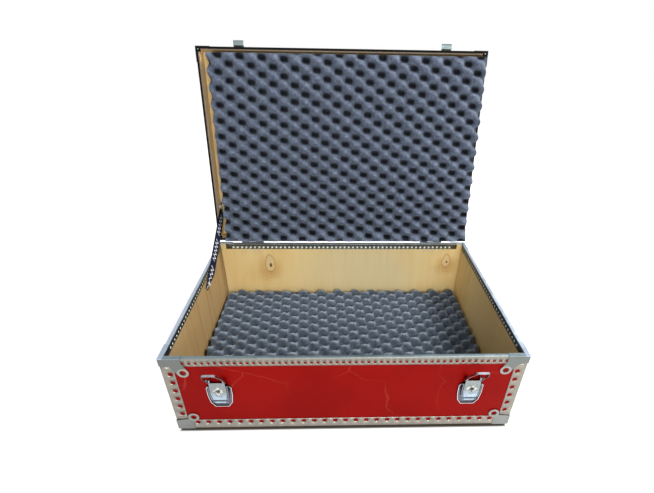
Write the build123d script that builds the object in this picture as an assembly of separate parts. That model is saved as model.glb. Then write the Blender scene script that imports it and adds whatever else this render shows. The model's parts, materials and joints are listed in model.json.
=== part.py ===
from build123d import *
import os
from math import atan2, cos, degrees, radians, sin, sqrt

# Plywood tool case with perforated steel edging, shown with its lid open.
# X runs along the case, -Y is the latch side, +Z is up. The origin is on the floor, under the middle of the base.

# Case sizes, over the steel corners
case_width = 700.0
case_depth = 474.0
base_height = 195.0
lid_height = 46.0
foot_height = 9.0
lid_open_angle = 100.0

# Sheet goods
steel = 0.9
laminate = 0.8
ply = 6.0
lid_gap = 0.4
soft_gap = 0.3

# Rim channel
rim_outer_flange = 19.0
rim_inner_flange = 16.0
rim_flange_setback = 14.0
rim_hole = 6.0
rim_hole_sides = 4
rim_hole_drop = 12.0
rim_hole_pitch = 12.0
rim_end_margin = 43.0
bend_chamfer = 0.6

# Rim of the lid: an angle whose lip covers the outer part of the wall's edge, and a rubber seal on the lip
lid_rim_lip = 5.0
seal_thickness = 0.9

# Bottom and upright edging
edging_leg = 25.0
edging_hole = 10.0
edging_hole_sides = 4
edging_hole_rise = 18.3
edging_hole_pitch = 21.9
edging_end_margin = 42.0
upright_leg = 24.0
upright_hole_inset = 16.0
upright_hole_pitch = 22.2
upright_end_margin = 12.0

# Pressed corners
ear_radius = 11.3
ear_hole_radius = 6.2
ear_hole_sides = 6
ear_sides = 8
rim_corner_reach = 42.0
rim_corner_depth = 18.0
rim_ear = (41.0, 36.0)
foot_corner_reach = 35.0
foot_corner_depth = 26.0
foot_ear = (37.5, 35.5)
lid_corner_reach = 34.0
lid_corner_depth = 14.0
lid_ear = (31.0, 29.0)
foot_side = 27.0
foot_inset = 16.0
foot_taper = 18.0
foot_edge_chamfer = 4.0

# Foam
floor_foam_thickness = 45.0
floor_foam_end_gap = 9.4
floor_foam_front_gap = 4.4
floor_foam_rear_gap = 16.4
lid_foam_proud = 42.0
lid_foam_left_gap = 24.0
lid_foam_right_gap = 2.4
lid_foam_front_gap = 8.0
lid_foam_rear_gap = 1.7
mound_pitch_x = 51.4
mound_pitch_y = 35.9
floor_mound_rise = 20.0
floor_mound_turn = 3.1
floor_mound_place = (-2.1, -3.2)
lid_mound_rise = 23.0
lid_mound_turn = 2.9
lid_mound_place = (30.2, 13.4)

# Hinges
hinge_inset = 98.0
hinge_length = 60.0
hinge_leaf = 1.5
hinge_leaf_height = 32.0
knuckle_radius = 4.0
knuckle_count = 3
knuckle_gap = 0.3
knuckle_sides = 16
pin_sides = 12
hinge_pin_radius = 2.0
running_fit = 0.05
hinge_pin_end = 1.0
hinge_rivet_drop = 21.5
hinge_rivet_pitch = 19.5

# Latches, heights above the underside of the edging
latch_inset = 102.0
latch_sheet = 1.2
latch_rim_height = 3.4
latch_bottom = 68.0
latch_bottom_half = 13.5
latch_waist = 80.0
latch_waist_half = 21.5
latch_widest = 100.0
latch_half = 24.5
latch_top = 128.0
latch_corner = 7.0
lever_face = 9.2
lever_bottom = 85.0
lever_top = 139.6
lever_half = 18.8
lever_bottom_half = 13.8
lever_neck_half = 15.3
lever_neck_bottom = 131.0
lever_wall_depth = 6.0
lever_pivot = (7.0, 143.5)
link_pivot = (5.2, 136.5)
lever_pin_radius = 1.4
link_pin_radius = 1.3
ear_thickness = 1.4
side_gap = 0.4
tab_radius = 3.4
link_strip = 1.6
link_depth = 4.0
link_lean = 33.0
link_top_half = 12.2
link_shoulder = 40.0
link_waist = 18.0
lock_height = 113.0
lock_radius = 6.5
lock_step = 1.0
lock_sides = 12
key_slot = (1.8, 6.0)

# Keepers on the lid
keeper_width = 24.0
keeper_sheet = 1.5
keeper_plate_top = 18.0
keeper_trough = 2.5
keeper_reach = 14.0
keeper_lip = 8.5
keeper_bend = 3.2
keeper_notch = 2.5
notch_sides = 8
keeper_corner = 2.5
keeper_rivet_offset = 6.0
keeper_rivet_drop = 5.0

# Drop handles on the ends
handle_plate_length = 136.0
handle_plate_height = 46.0
handle_sheet = 1.5
handle_rod_radius = 3.5
handle_eye_spacing = 104.0
handle_eye_thickness = 8.0
handle_eye_radius = 6.4
handle_pivot_rise = 12.0
handle_drop = 36.0
handle_plate_corner = 9.0
handle_rod_end = 2.0
grip_radius = 7.0
grip_length = 62.0
handle_center_height = 112.0

# Lid stay strap
strap_width = 30.0
strap_thickness = 1.6
strap_base_point = (162.0, 161.0)
strap_lid_point = (88.5, 22.8)
strap_tail = 6.5
strap_screw_radius = 2.5
strap_washer_radius = 6.4
strap_play = 0.05
washer_sides = 10
strap_washer = 1.5

# Rivets
rivet_head_radius = 3.6
rivet_head = 1.3
rivet_taper = 30
rivet_sides = 6

# Places that follow from the sizes above
out_x = case_width / 2
out_y = case_depth / 2
strip_x = out_x - steel
strip_y = out_y - steel
skin_x = strip_x - steel
skin_y = strip_y - steel
ply_x = skin_x - laminate
ply_y = skin_y - laminate
in_x = ply_x - ply
in_y = ply_y - ply
wall = laminate + ply
channel = wall + 2 * steel
case_bottom = foot_height
strip_z = case_bottom + steel
skin_z = strip_z + steel
ply_z = skin_z + laminate
floor_top = ply_z + ply
rim_z = strip_z + base_height
seam_z = rim_z + steel + lid_gap / 2
lid_rim_z = seam_z + lid_gap / 2 + seal_thickness
lid_top_z = lid_rim_z + lid_height
lid_skin_z = lid_top_z - steel
lid_ply_z = lid_skin_z - laminate
lid_ceiling = lid_ply_z - ply
hinge_y = strip_y + knuckle_radius + soft_gap
hinge_z = seam_z
hinge_x = out_x - hinge_inset
latch_x = out_x - latch_inset


def block(x0, x1, y0, y1, z0, z1):
    """A box between two corners."""
    size = Box(abs(x1 - x0), abs(y1 - y0), abs(z1 - z0))
    return Pos((x0 + x1) / 2, (y0 + y1) / 2, (z0 + z1) / 2) * size


def open_lid(shape):
    """Turns a piece of the closed lid back to its place on the open case, solid by solid."""
    hinge_line = Axis((0, hinge_y, hinge_z), (1, 0, 0))
    solids = [solid.rotate(hinge_line, -lid_open_angle) for solid in shape.solids()]
    return solids[0] if len(solids) == 1 else Compound(children=solids)


def pin(radius, x0, x1):
    """A round pin along X."""
    return Pos(min(x0, x1), 0, 0) * extrude(Plane.YZ * Circle(radius), amount=abs(x1 - x0))


def bore(radius, x0, x1):
    """A drill along X whose flats keep the running fit from a pin of the radius."""
    outline = RegularPolygon(radius + running_fit, pin_sides, major_radius=False)
    return Pos(min(x0, x1), 0, 0) * extrude(Plane.YZ * outline, amount=abs(x1 - x0))


def flip_x(shape):
    return mirror(shape, about=Plane.YZ)


def flip_y(shape):
    return mirror(shape, about=Plane.XZ)


def spaced(length, margin, pitch):
    """Evenly pitched places along a length, centred, no nearer its ends than the margin."""
    count = int((length - 2 * margin) // pitch) + 1
    return [(i - (count - 1) / 2) * pitch for i in range(count)]


def front_holes(places, height, diameter, sides, depth):
    """Drills for a row of holes through a sheet whose outer face is at y = 0."""
    plane = Plane(origin=(0, depth, 0), x_dir=(1, 0, 0), z_dir=(0, -1, 0))
    shapes = [Pos(x, height) * RegularPolygon(diameter / 2, sides) for x in places]
    return extrude(plane * (Sketch() + shapes), amount=2 * depth)


def mitred(section, length, depth):
    """A section in the YZ plane run along X, with 45 degree ends that shorten inwards."""
    bar = extrude(Plane.YZ * section, amount=length / 2, both=True)
    half = length / 2
    plan = Polygon((-half, 0), (half, 0), (half - depth, depth), (-half + depth, depth), align=None)
    reach = 2 * (edging_leg + rim_outer_flange)
    return bar & extrude(plan, amount=reach, both=True)


def channel_section():
    """U section over a wall: outer face at y = 0, top at z = 0."""
    outline = Polygon(
        (0, 0), (channel, 0), (channel, -rim_inner_flange), (channel - steel, -rim_inner_flange),
        (channel - steel, -steel), (steel, -steel), (steel, -rim_outer_flange), (0, -rim_outer_flange),
        align=None,
    )
    corners = [v for v in outline.vertices() if abs(v.Y) < steel / 2]
    return chamfer(corners, bend_chamfer)


def rim_channel(length, setback):
    """Channel along X with its outer face at y = 0 and its top at z = 0."""
    body = mitred(channel_section(), length, channel)
    places = spaced(length, rim_end_margin, rim_hole_pitch)
    body -= front_holes(places, -rim_hole_drop, rim_hole, rim_hole_sides, 2 * steel)
    if setback:
        inner = length / 2 - channel
        for side in (-1, 1):
            x0 = side * (inner - setback)
            x1 = side * (inner + channel)
            body -= block(x0, x1, channel - steel - ply / 2, channel + steel, -rim_outer_flange, -steel)
    return body


def angle_section(level, rise):
    """L section round a lower edge: outer face at y = 0, underside at z = 0."""
    outline = Polygon(
        (0, 0), (level, 0), (level, steel), (steel, steel), (steel, rise), (0, rise), align=None
    )
    corner = [v for v in outline.vertices() if abs(v.X) + abs(v.Y) < steel / 2]
    return chamfer(corner, bend_chamfer)


def bottom_edging(length):
    """Angle along X with its outer face at y = 0 and its underside at z = 0."""
    body = mitred(angle_section(edging_leg, edging_leg), length, edging_leg)
    places = spaced(length, edging_end_margin, edging_hole_pitch)
    return body - front_holes(places, edging_hole_rise, edging_hole, edging_hole_sides, 2 * steel)


def upright_edging():
    """Angle along Z at the front left corner, between the lower edging and the rim channel."""
    low = strip_z + edging_leg
    high = rim_z - rim_outer_flange
    plan = Polygon(
        (0, 0), (upright_leg, 0), (upright_leg, steel), (steel, steel), (steel, upright_leg), (0, upright_leg),
        align=None,
    )
    corner = [v for v in plan.vertices() if abs(v.X) + abs(v.Y) < steel / 2]
    body = extrude(chamfer(corner, bend_chamfer), amount=high - low)
    middle = (high - low) / 2
    heights = [middle + z for z in spaced(high - low, upright_end_margin, upright_hole_pitch)]
    polygon = RegularPolygon(edging_hole / 2, edging_hole_sides)
    face = Sketch() + [Pos(upright_hole_inset, z) * polygon for z in heights]
    through_front = extrude(Plane.XZ * face, amount=2 * steel, both=True)
    through_end = extrude(Plane.YZ * face, amount=2 * steel, both=True)
    return Pos(-strip_x, -strip_y, low) * (body - through_front - through_end)


def eared_face(reach, depth, ear):
    """Outline of one leaf of a pressed corner, with its vertex at the origin and its round ear."""
    ear_x, ear_y = ear
    step = ear_radius / sqrt(2)
    core = Polygon(
        (0, 0), (reach, 0), (reach, depth * 0.75), (ear_x + step, ear_y - step),
        (ear_x - step, ear_y + step), (depth, depth + step / 2), (0, depth), align=None,
    )
    return core + Pos(ear_x, ear_y) * RegularPolygon(ear_radius, ear_sides)


def ear_hole(ear):
    return Pos(*ear) * RegularPolygon(ear_hole_radius, ear_hole_sides)


def plain_face(reach, width):
    """Outline of the narrow leaf that lies on the rim: an L round the opening."""
    return Polygon(
        (0, 0), (reach, 0), (reach, width), (width, width), (width, reach), (0, reach), align=None
    )


def corner_shell(front, end, level):
    """Three sheet leaves that meet at the origin: front on y = 0, end on x = 0, level on z = 0."""
    leaf_front = extrude(Plane.XZ * front, amount=-steel)
    leaf_end = extrude(Plane.YZ * end, amount=steel)
    leaf_level = extrude(level, amount=steel)
    return leaf_front + leaf_end + leaf_level


def rim_corner():
    """Upper corner of the base at the front left, its vertex at the origin, made upside down."""
    leaf = eared_face(rim_corner_reach, rim_corner_depth, rim_ear) - ear_hole(rim_ear)
    return corner_shell(leaf, leaf, plain_face(rim_corner_reach, channel + steel))


def foot_corner():
    """Lower corner of the base with its pressed foot, its vertex at the origin."""
    leaf = eared_face(foot_corner_reach, foot_corner_depth, foot_ear) - ear_hole(foot_ear)
    shell = corner_shell(leaf, leaf, leaf)
    pad = chamfer(Rectangle(foot_side, foot_side).vertices(), foot_edge_chamfer)
    foot = mirror(extrude(pad, amount=foot_height, taper=foot_taper), about=Plane.XY)
    return shell + Pos(foot_inset, foot_inset) * foot


def lid_corner():
    """Corner of the shallow lid: two wall leaves down to the seal's underside, and its top leaf."""
    under_top = seal_thickness + lid_height
    high = under_top + steel
    wall_leaf = Polygon(
        (0, 0), (lid_corner_reach, 0), (lid_corner_reach, lid_corner_depth), (lid_corner_depth, high / 2),
        (lid_corner_reach, high - lid_corner_depth), (lid_corner_reach, high), (0, high), align=None,
    )
    walls = extrude(Plane.XZ * wall_leaf, amount=-steel) + extrude(Plane.YZ * wall_leaf, amount=steel)
    top_leaf = eared_face(lid_corner_reach, lid_corner_depth, lid_ear) - ear_hole(lid_ear)
    return walls + Pos(0, 0, under_top) * extrude(top_leaf, amount=steel)


def base_panels():
    """Five plywood boards: the walls stand on the floor board."""
    top = rim_z - steel
    floor = block(-ply_x, ply_x, -ply_y, ply_y, ply_z, floor_top)
    front = block(-ply_x, ply_x, -ply_y, -in_y, floor_top, top)
    left = block(-ply_x, -in_x, -in_y, in_y, floor_top, top)
    return {
        "base_floor_panel": floor,
        "base_front_panel": front,
        "base_rear_panel": flip_y(front),
        "base_left_panel": left,
        "base_right_panel": flip_x(left),
    }


def base_skins():
    """Red laminate on the outer faces of the base."""
    top = rim_z - steel
    front = block(-skin_x, skin_x, -skin_y, -ply_y, skin_z, top)
    left = block(-skin_x, -ply_x, -ply_y, ply_y, skin_z, top)
    bottom = block(-ply_x, ply_x, -ply_y, ply_y, skin_z, ply_z)
    return {
        "base_front_laminate": front,
        "base_rear_laminate": flip_y(front),
        "base_end_laminates": Compound(children=[left, flip_x(left)]),
        "base_bottom_laminate": bottom,
    }


def base_rims():
    """Perforated channels over the top edge of the base."""
    long_one = Pos(0, -strip_y, rim_z) * rim_channel(2 * strip_x, rim_flange_setback)
    short_one = rim_channel(2 * strip_y, 0)
    left = Pos(-strip_x, 0, rim_z) * Rot(0, 0, -90) * short_one
    return {
        "front_rim_channel": long_one,
        "rear_rim_channel": flip_y(long_one),
        "left_rim_channel": left,
        "right_rim_channel": flip_x(left),
    }


def base_edgings():
    """Perforated angles round the bottom edge and up the corners of the base."""
    front = Pos(0, -strip_y, strip_z) * bottom_edging(2 * strip_x)
    left = Pos(-strip_x, 0, strip_z) * Rot(0, 0, -90) * bottom_edging(2 * strip_y)
    upright = upright_edging()
    pair = [upright, flip_x(upright)]
    return {
        "front_bottom_edging": front,
        "rear_bottom_edging": flip_y(front),
        "end_bottom_edgings": Compound(children=[left, flip_x(left)]),
        "upright_edgings": Compound(children=pair + [flip_y(piece) for piece in pair]),
    }


def base_corners():
    """Eight pressed corners of the base."""
    rim = mirror(rim_corner(), about=Plane.XY)
    pieces = {
        "rim_corner": Pos(-out_x, -out_y, rim_z + steel) * rim,
        "foot_corner": Pos(-out_x, -out_y, case_bottom) * foot_corner(),
    }
    nodes = {}
    for name, piece in pieces.items():
        nodes["front_left_" + name] = piece
        nodes["front_right_" + name] = flip_x(piece)
        nodes["rear_left_" + name] = flip_y(piece)
        nodes["rear_right_" + name] = flip_x(flip_y(piece))
    return nodes


def rivet_head_on():
    """Rivet head that sits on the plane y = 0 and faces -Y."""
    crown = extrude(RegularPolygon(rivet_head_radius, rivet_sides), amount=rivet_head, taper=rivet_taper)
    return Rot(90, 0, 0) * crown


def lid_panels():
    """Plywood boards of the lid, in the closed place."""
    low = lid_rim_z + steel
    top = block(-ply_x, ply_x, -ply_y, ply_y, lid_ceiling, lid_ply_z)
    front = block(-ply_x, ply_x, -ply_y, -in_y, low, lid_ceiling)
    left = block(-ply_x, -in_x, -in_y, in_y, low, lid_ceiling)
    return {
        "lid_top_panel": top,
        "lid_front_panel": front,
        "lid_rear_panel": flip_y(front),
        "lid_end_panels": Compound(children=[left, flip_x(left)]),
    }


def lid_skins():
    """Red laminate on the outer faces of the lid."""
    low = lid_rim_z + steel
    front = block(-skin_x, skin_x, -skin_y, -ply_y, low, lid_skin_z)
    left = block(-skin_x, -ply_x, -ply_y, ply_y, low, lid_skin_z)
    top = block(-ply_x, ply_x, -ply_y, ply_y, lid_ply_z, lid_skin_z)
    return {"lid_laminates": Compound(children=[top, front, flip_y(front), left, flip_x(left)])}


def lid_rims():
    """Angles round the lid's lower edge and round its top edge, four of each."""
    rim = angle_section(lid_rim_lip, rim_outer_flange)
    long_rim = Pos(0, -strip_y, lid_rim_z) * mitred(rim, 2 * strip_x, lid_rim_lip)
    left_rim = Pos(-strip_x, 0, lid_rim_z) * Rot(0, 0, -90) * mitred(rim, 2 * strip_y, lid_rim_lip)
    top = angle_section(edging_leg, edging_leg)
    long_top = mirror(mitred(top, 2 * strip_x, edging_leg), about=Plane.XY)
    long_top = Pos(0, -strip_y, lid_top_z) * long_top
    short_top = mirror(mitred(top, 2 * strip_y, edging_leg), about=Plane.XY)
    left_top = Pos(-strip_x, 0, lid_top_z) * Rot(0, 0, -90) * short_top
    rims = [long_rim, flip_y(long_rim), left_rim, flip_x(left_rim)]
    tops = [long_top, flip_y(long_top), left_top, flip_x(left_top)]
    return {
        "lid_rim_angles": Compound(children=rims),
        "lid_top_edgings": Compound(children=tops),
    }


def lid_seal():
    """Four rubber strips under the lip of the lid's rim, butted at the corners."""
    far_x, far_y = strip_x - bend_chamfer, strip_y - bend_chamfer
    near_x, near_y = strip_x - lid_rim_lip, strip_y - lid_rim_lip
    low = lid_rim_z - seal_thickness
    front = block(-far_x, far_x, -far_y, -near_y, low, lid_rim_z)
    left = block(-far_x, -near_x, -near_y, near_y, low, lid_rim_z)
    return {"lid_seal": Compound(children=[front, flip_y(front), left, flip_x(left)])}


def lid_corners():
    """Four pressed corners of the lid."""
    front = Pos(-out_x, -out_y, lid_rim_z - seal_thickness) * lid_corner()
    rear = flip_y(front)
    return {
        "lid_front_corners": Compound(children=[front, flip_x(front)]),
        "lid_rear_corners": Compound(children=[rear, flip_x(rear)]),
    }


def groove_comb(reach, rise, place, lean):
    """Cutter for one slanting row of V grooves that meet in ridges at z = 0, one of them through the place."""
    across, along = 1 / mound_pitch_x, lean / mound_pitch_y
    pitch = 1 / sqrt(across**2 + along**2)
    ridge = (place[0] * across + place[1] * along) * pitch
    count = int(reach / pitch) + 2
    teeth = []
    for i in range(-count, count + 1):
        teeth += [(ridge + i * pitch, 0), (ridge + (i + 0.5) * pitch, -rise)]
    top = [(teeth[-1][0], rise), (teeth[0][0], rise)]
    comb = extrude(Plane.XZ * Polygon(*(teeth + top), align=None), amount=reach, both=True)
    return Rot(0, 0, degrees(atan2(along, across))) * comb


def egg_foam(x0, x1, y0, y1, thickness, mounds):
    """Foam from z = 0 up, its top cut into pointed mounds by two crossing rows of grooves."""
    rise, turn, place = mounds
    body = block(x0, x1, y0, y1, 0, thickness + rise / 2)
    reach = sqrt((x1 - x0) ** 2 + (y1 - y0) ** 2)
    for lean in (-1, 1):
        body -= Pos(0, 0, thickness) * Rot(0, 0, turn) * groove_comb(reach, rise, place, lean)
    return body


def foams():
    """Foams of the tray and of the closed lid, the second with its mounds downwards."""
    half = in_x - floor_foam_end_gap
    front, rear = -in_y + floor_foam_front_gap, in_y - floor_foam_rear_gap
    mounds = (floor_mound_rise, floor_mound_turn, floor_mound_place)
    floor = egg_foam(-half, half, front, rear, floor_foam_thickness, mounds)
    left, right = -in_x + lid_foam_left_gap, in_x - lid_foam_right_gap
    front, rear = -in_y + lid_foam_front_gap, in_y - lid_foam_rear_gap
    thickness = lid_ceiling - lid_rim_z - soft_gap + lid_foam_proud
    mounds = (lid_mound_rise, lid_mound_turn, lid_mound_place)
    lid = mirror(egg_foam(left, right, front, rear, thickness, mounds), about=Plane.XY)
    return {
        "floor_foam": Pos(0, 0, floor_top + soft_gap) * floor,
        "lid_foam": open_lid(Pos(0, 0, lid_ceiling - soft_gap) * lid),
    }


def hinge_leaf_part(on_lid):
    """One leaf of a hinge at x = 0 with its share of the knuckles, in the closed place."""
    side = 1 if on_lid else -1
    pitch = hinge_length / knuckle_count
    near = hinge_z + side * (knuckle_radius + knuckle_gap)
    far = hinge_z + side * hinge_leaf_height
    half = hinge_length / 2
    leaf = block(-half, half, strip_y, strip_y + hinge_leaf, near, far)
    corners = leaf.edges().filter_by(Axis.Y).sort_by(Axis.Z)
    outer = corners[-2:] if on_lid else corners[:2]
    leaf = chamfer(outer, 4)
    round_knuckle = RegularPolygon(knuckle_radius, knuckle_sides)
    for i in range(knuckle_count):
        if (i % 2 == 1) != on_lid:
            continue
        x0 = -half + i * pitch + knuckle_gap / 2
        x1 = x0 + pitch - knuckle_gap
        barrel = Pos(x0, hinge_y, hinge_z) * extrude(Plane.YZ * round_knuckle, amount=x1 - x0)
        neck = block(x0, x1, strip_y + soft_gap, strip_y + hinge_leaf, hinge_z, near)
        leaf += barrel + neck
    return leaf - Pos(0, hinge_y, hinge_z) * bore(hinge_pin_radius, -hinge_length, hinge_length)


def hinge_pin():
    """Pin at x = 0 that stands a little out of both ends of its hinge."""
    half = hinge_length / 2 + hinge_pin_end
    return Pos(0, hinge_y, hinge_z) * pin(hinge_pin_radius, -half, half)


def hinges():
    nodes = {}
    for name, x in (("left", -hinge_x), ("right", hinge_x)):
        nodes[name + "_hinge_base_leaf"] = Pos(x, 0, 0) * hinge_leaf_part(False)
        nodes[name + "_hinge_lid_leaf"] = open_lid(Pos(x, 0, 0) * hinge_leaf_part(True))
    pins = [Pos(x, 0, 0) * hinge_pin() for x in (-hinge_x, hinge_x)]
    nodes["hinge_pins"] = Compound(children=pins)
    return nodes


def at_latch(shape):
    """Moves a latch piece, drawn with p outwards as -Y and z above the edging, to the front face."""
    return Pos(0, -skin_y, strip_z) * shape


def side_prism(points, x0, x1):
    """A plate across X from a list of (p, z) points, where p is the height above the front face."""
    outline = Polygon(*[(-p, z) for p, z in points], align=None)
    return Pos(x0, 0, 0) * extrude(Plane.YZ * outline, amount=x1 - x0, dir=(1, 0, 0))


def at_pivot(center, shape):
    """Moves a pin or bore along X to a (p, z) point."""
    return Pos(0, -center[0], center[1]) * shape


def face_prism(outline, p0, p1):
    """An (x, z) outline given thickness between two heights above the front face."""
    plane = Plane(origin=(0, -p0, 0), x_dir=(1, 0, 0), z_dir=(0, -1, 0))
    return extrude(plane * outline, amount=p1 - p0, dir=(0, -1, 0))


def mirrored_outline(half):
    """A closed outline from its right half, listed from the bottom up."""
    left = [(-x, z) for x, z in reversed(half)]
    return Polygon(*(half + left), align=None)


def latch_places():
    """Half widths of the latch layers: ear, tab and link arm, each as its inner and outer x."""
    tab = (lever_neck_half - ear_thickness, lever_neck_half)
    ear = (tab[0] - side_gap - ear_thickness, tab[0] - side_gap)
    arm = (tab[1] + side_gap, tab[1] + side_gap + link_strip)
    return ear, tab, arm


def latch_plate():
    """Pressed base plate with a raised edge and two ears for the lever."""
    half = [
        (latch_bottom_half, latch_bottom), (latch_waist_half, latch_waist),
        (latch_half, latch_widest), (latch_half, latch_top),
    ]
    outline = mirrored_outline(half)
    ends = outline.vertices().group_by(Axis.Y)
    outline = chamfer(ends[-1], latch_corner)
    body = face_prism(outline, 0, latch_rim_height)
    body -= face_prism(offset(outline, -latch_sheet, kind=Kind.INTERSECTION), latch_sheet, latch_rim_height)
    clear = lever_half + side_gap
    body -= block(-clear, clear, -2 * latch_rim_height, -latch_sheet, latch_widest, latch_top + steel)
    ear, tab, arm = latch_places()
    top = lever_pivot[1] + tab_radius
    for side in (-1, 1):
        x0, x1 = sorted((side * ear[0], side * ear[1]))
        finger = [(0, latch_top - 1), (latch_sheet, latch_top - 1), (latch_sheet, top - 2 * tab_radius - 2)]
        finger += tab_points(lever_pivot) + [(0, top)]
        body += side_prism(finger, x0, x1)
        x0, x1 = sorted((side * ear[0], side * (tab[1] + running_fit)))
        body += at_pivot(lever_pivot, pin(lever_pin_radius, x0, x1))
    return body


def tab_points(center):
    """Outer half of the outline round a pivot, with its corners cut, from the bottom up."""
    p, z = center
    cut = tab_radius / 2
    return [
        (p + cut, z - tab_radius), (p + tab_radius, z - cut), (p + tab_radius, z + cut), (p + cut, z + tab_radius)
    ]


def latch_lever():
    """Pressed lever: a tray turned over the plate, a finger lip, two tabs and a lock boss."""
    inner_face = lever_face - latch_sheet
    profile = [
        (lever_face, lever_top), (lever_face, lever_bottom + 9), (lever_face - 2.6, lever_bottom + 5),
        (lever_face - 0.6, lever_bottom), (lever_face - 2.0, lever_bottom - 0.6),
        (lever_face - 4.2, lever_bottom + 5), (inner_face, lever_bottom + 10), (inner_face, lever_top),
    ]
    half = [
        (lever_bottom_half, lever_bottom - 1), (lever_half, lever_bottom + 24),
        (lever_half, lever_neck_bottom), (lever_neck_half, lever_neck_bottom),
        (lever_neck_half, lever_top),
    ]
    outline = mirrored_outline(half)
    plate = side_prism(profile, -lever_half, lever_half) & face_prism(outline, 0, 2 * lever_face)
    skirt_half = [
        (lever_bottom_half + 1.2, lever_bottom + 7), (lever_half, lever_bottom + 24), (lever_half, lever_neck_bottom)
    ]
    skirt = mirrored_outline(skirt_half)
    wall_low = lever_face - lever_wall_depth
    inner = offset(skirt, -latch_sheet, kind=Kind.INTERSECTION)
    inner += Pos(0, lever_neck_bottom) * Rectangle(2 * (lever_half - latch_sheet), 4 * latch_sheet)
    inner += Pos(0, lever_bottom + 7) * Rectangle(2 * (lever_bottom_half - 0.6), 4 * latch_sheet)
    plate += face_prism(skirt - inner, wall_low, lever_face)
    ear, tab, arm = latch_places()
    for side in (-1, 1):
        x0, x1 = sorted((side * tab[0], side * tab[1]))
        p_low, z_low = link_pivot[0] - tab_radius + running_fit, link_pivot[1] - tab_radius
        points = [
            (p_low, z_low + 1.5), (p_low + 1.5, z_low), (inner_face + steel / 2, z_low),
            (inner_face + steel / 2, lever_pivot[1]), (lever_pivot[0] + 2, lever_pivot[1] + tab_radius - steel / 2),
            (lever_pivot[0] - 2, lever_pivot[1] + tab_radius - steel / 2),
            (lever_pivot[0] - tab_radius, lever_pivot[1] + steel), (p_low, link_pivot[1] + 2),
        ]
        plate += side_prism(points, x0, x1)
    boss = Pos(0, lock_height) * RegularPolygon(lock_radius, lock_sides)
    plate += face_prism(boss, inner_face, lever_face + lock_step)
    rib = Polygon((-9, lever_bottom + 11), (9, lever_bottom + 11), (5.5, lock_height - 8), (-5.5, lock_height - 8), align=None)
    plate += face_prism(rib, inner_face, lever_face + lock_step / 2)
    keyhole = Pos(0, lock_height) * Rectangle(*key_slot)
    plate -= face_prism(keyhole, lever_face - 0.2, lever_face + 2 * lock_step)
    plate -= at_pivot(lever_pivot, bore(lever_pin_radius, -lever_half, lever_half))
    return plate - at_pivot(link_pivot, bore(link_pin_radius, -lever_half, lever_half))


def latch_link():
    """Draw link: a strip bent on edge into a loop, with trunnions in the lever's tabs."""
    ear, tab, arm = latch_places()
    length = keeper_bar_height() - link_pivot[1]
    top = length + link_strip / 2
    outer = [
        (arm[1], -link_depth / 2), (arm[1], link_shoulder), (link_top_half, top - 3), (link_top_half - 2.5, top),
    ]
    inner = [
        (arm[0], -link_depth), (arm[0], link_shoulder - 0.6), (link_top_half - link_strip, top - 3.8),
        (link_top_half - 3.4, top - link_strip),
    ]
    frame = mirrored_outline(outer) - mirrored_outline(inner)
    p0 = link_pivot[0] - link_depth / 2
    body = face_prism(Pos(0, link_pivot[1]) * frame, p0, p0 + link_depth)
    for side in (-1, 1):
        t0, t1 = sorted((side * (tab[0] - 0.1), side * arm[1]))
        body += at_pivot(link_pivot, pin(link_pin_radius, t0, t1))
    pivot = Axis((0, -link_pivot[0], link_pivot[1]), (1, 0, 0))
    return body.rotate(pivot, link_lean)


def keeper_bar_height():
    """Height of the link's top strip when it lies in the keeper of the closed lid."""
    return lid_rim_z - strip_z + keeper_trough + link_strip / 2


def keeper():
    """Hooked catch on the front of the closed lid, at x = 0, with a notched lip."""
    base = lid_rim_z - strip_z
    low = base + keeper_trough - keeper_sheet
    back = steel
    front = steel + keeper_reach
    outer = [
        (back, base + keeper_plate_top), (back, low + keeper_bend), (back + keeper_bend, low),
        (front - keeper_bend, low), (front, low + keeper_bend), (front, base + keeper_lip),
    ]
    bend = keeper_bend + keeper_sheet * (sqrt(2) - 1)
    inner = [
        (front - keeper_sheet, base + keeper_lip), (front - keeper_sheet, low + bend),
        (front - bend, low + keeper_sheet), (back + bend, low + keeper_sheet),
        (back + keeper_sheet, low + bend), (back + keeper_sheet, base + keeper_plate_top),
    ]
    section = Polygon(*[(-p, z) for p, z in outer + inner], align=None)
    body = extrude(Plane.YZ * section, amount=keeper_width / 2, both=True)
    notch = Pos(0, base + keeper_lip) * RegularPolygon(keeper_notch, notch_sides)
    body -= face_prism(notch, front - 2 * keeper_sheet, front + keeper_sheet)
    tips = Pos(0, base + keeper_lip) * Rectangle(keeper_width + 2, 6)
    rounded = Rectangle(keeper_width, 2 * keeper_lip)
    rounded = Pos(0, base) * chamfer(rounded.vertices(), keeper_corner)
    shave = tips - rounded
    return body - face_prism(shave, front - 2 * keeper_sheet, front + keeper_sheet)


def latches():
    """Both latches: the same pieces at two places along the front."""
    nodes = {}
    pieces = {
        "latch_plate": at_latch(latch_plate()),
        "latch_lever": at_latch(latch_lever()),
        "latch_link": at_latch(latch_link()),
        "keeper": open_lid(at_latch(keeper())),
    }
    for side, x in (("left", -latch_x), ("right", latch_x)):
        for name, piece in pieces.items():
            nodes[f"{side}_{name}"] = Pos(x, 0, 0) * piece
    return nodes


def handle_pivot():
    """Height above the end face, and height above the floor, of the right handle's pivot."""
    return handle_sheet + soft_gap + grip_radius, strip_z + handle_center_height + handle_pivot_rise


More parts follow.
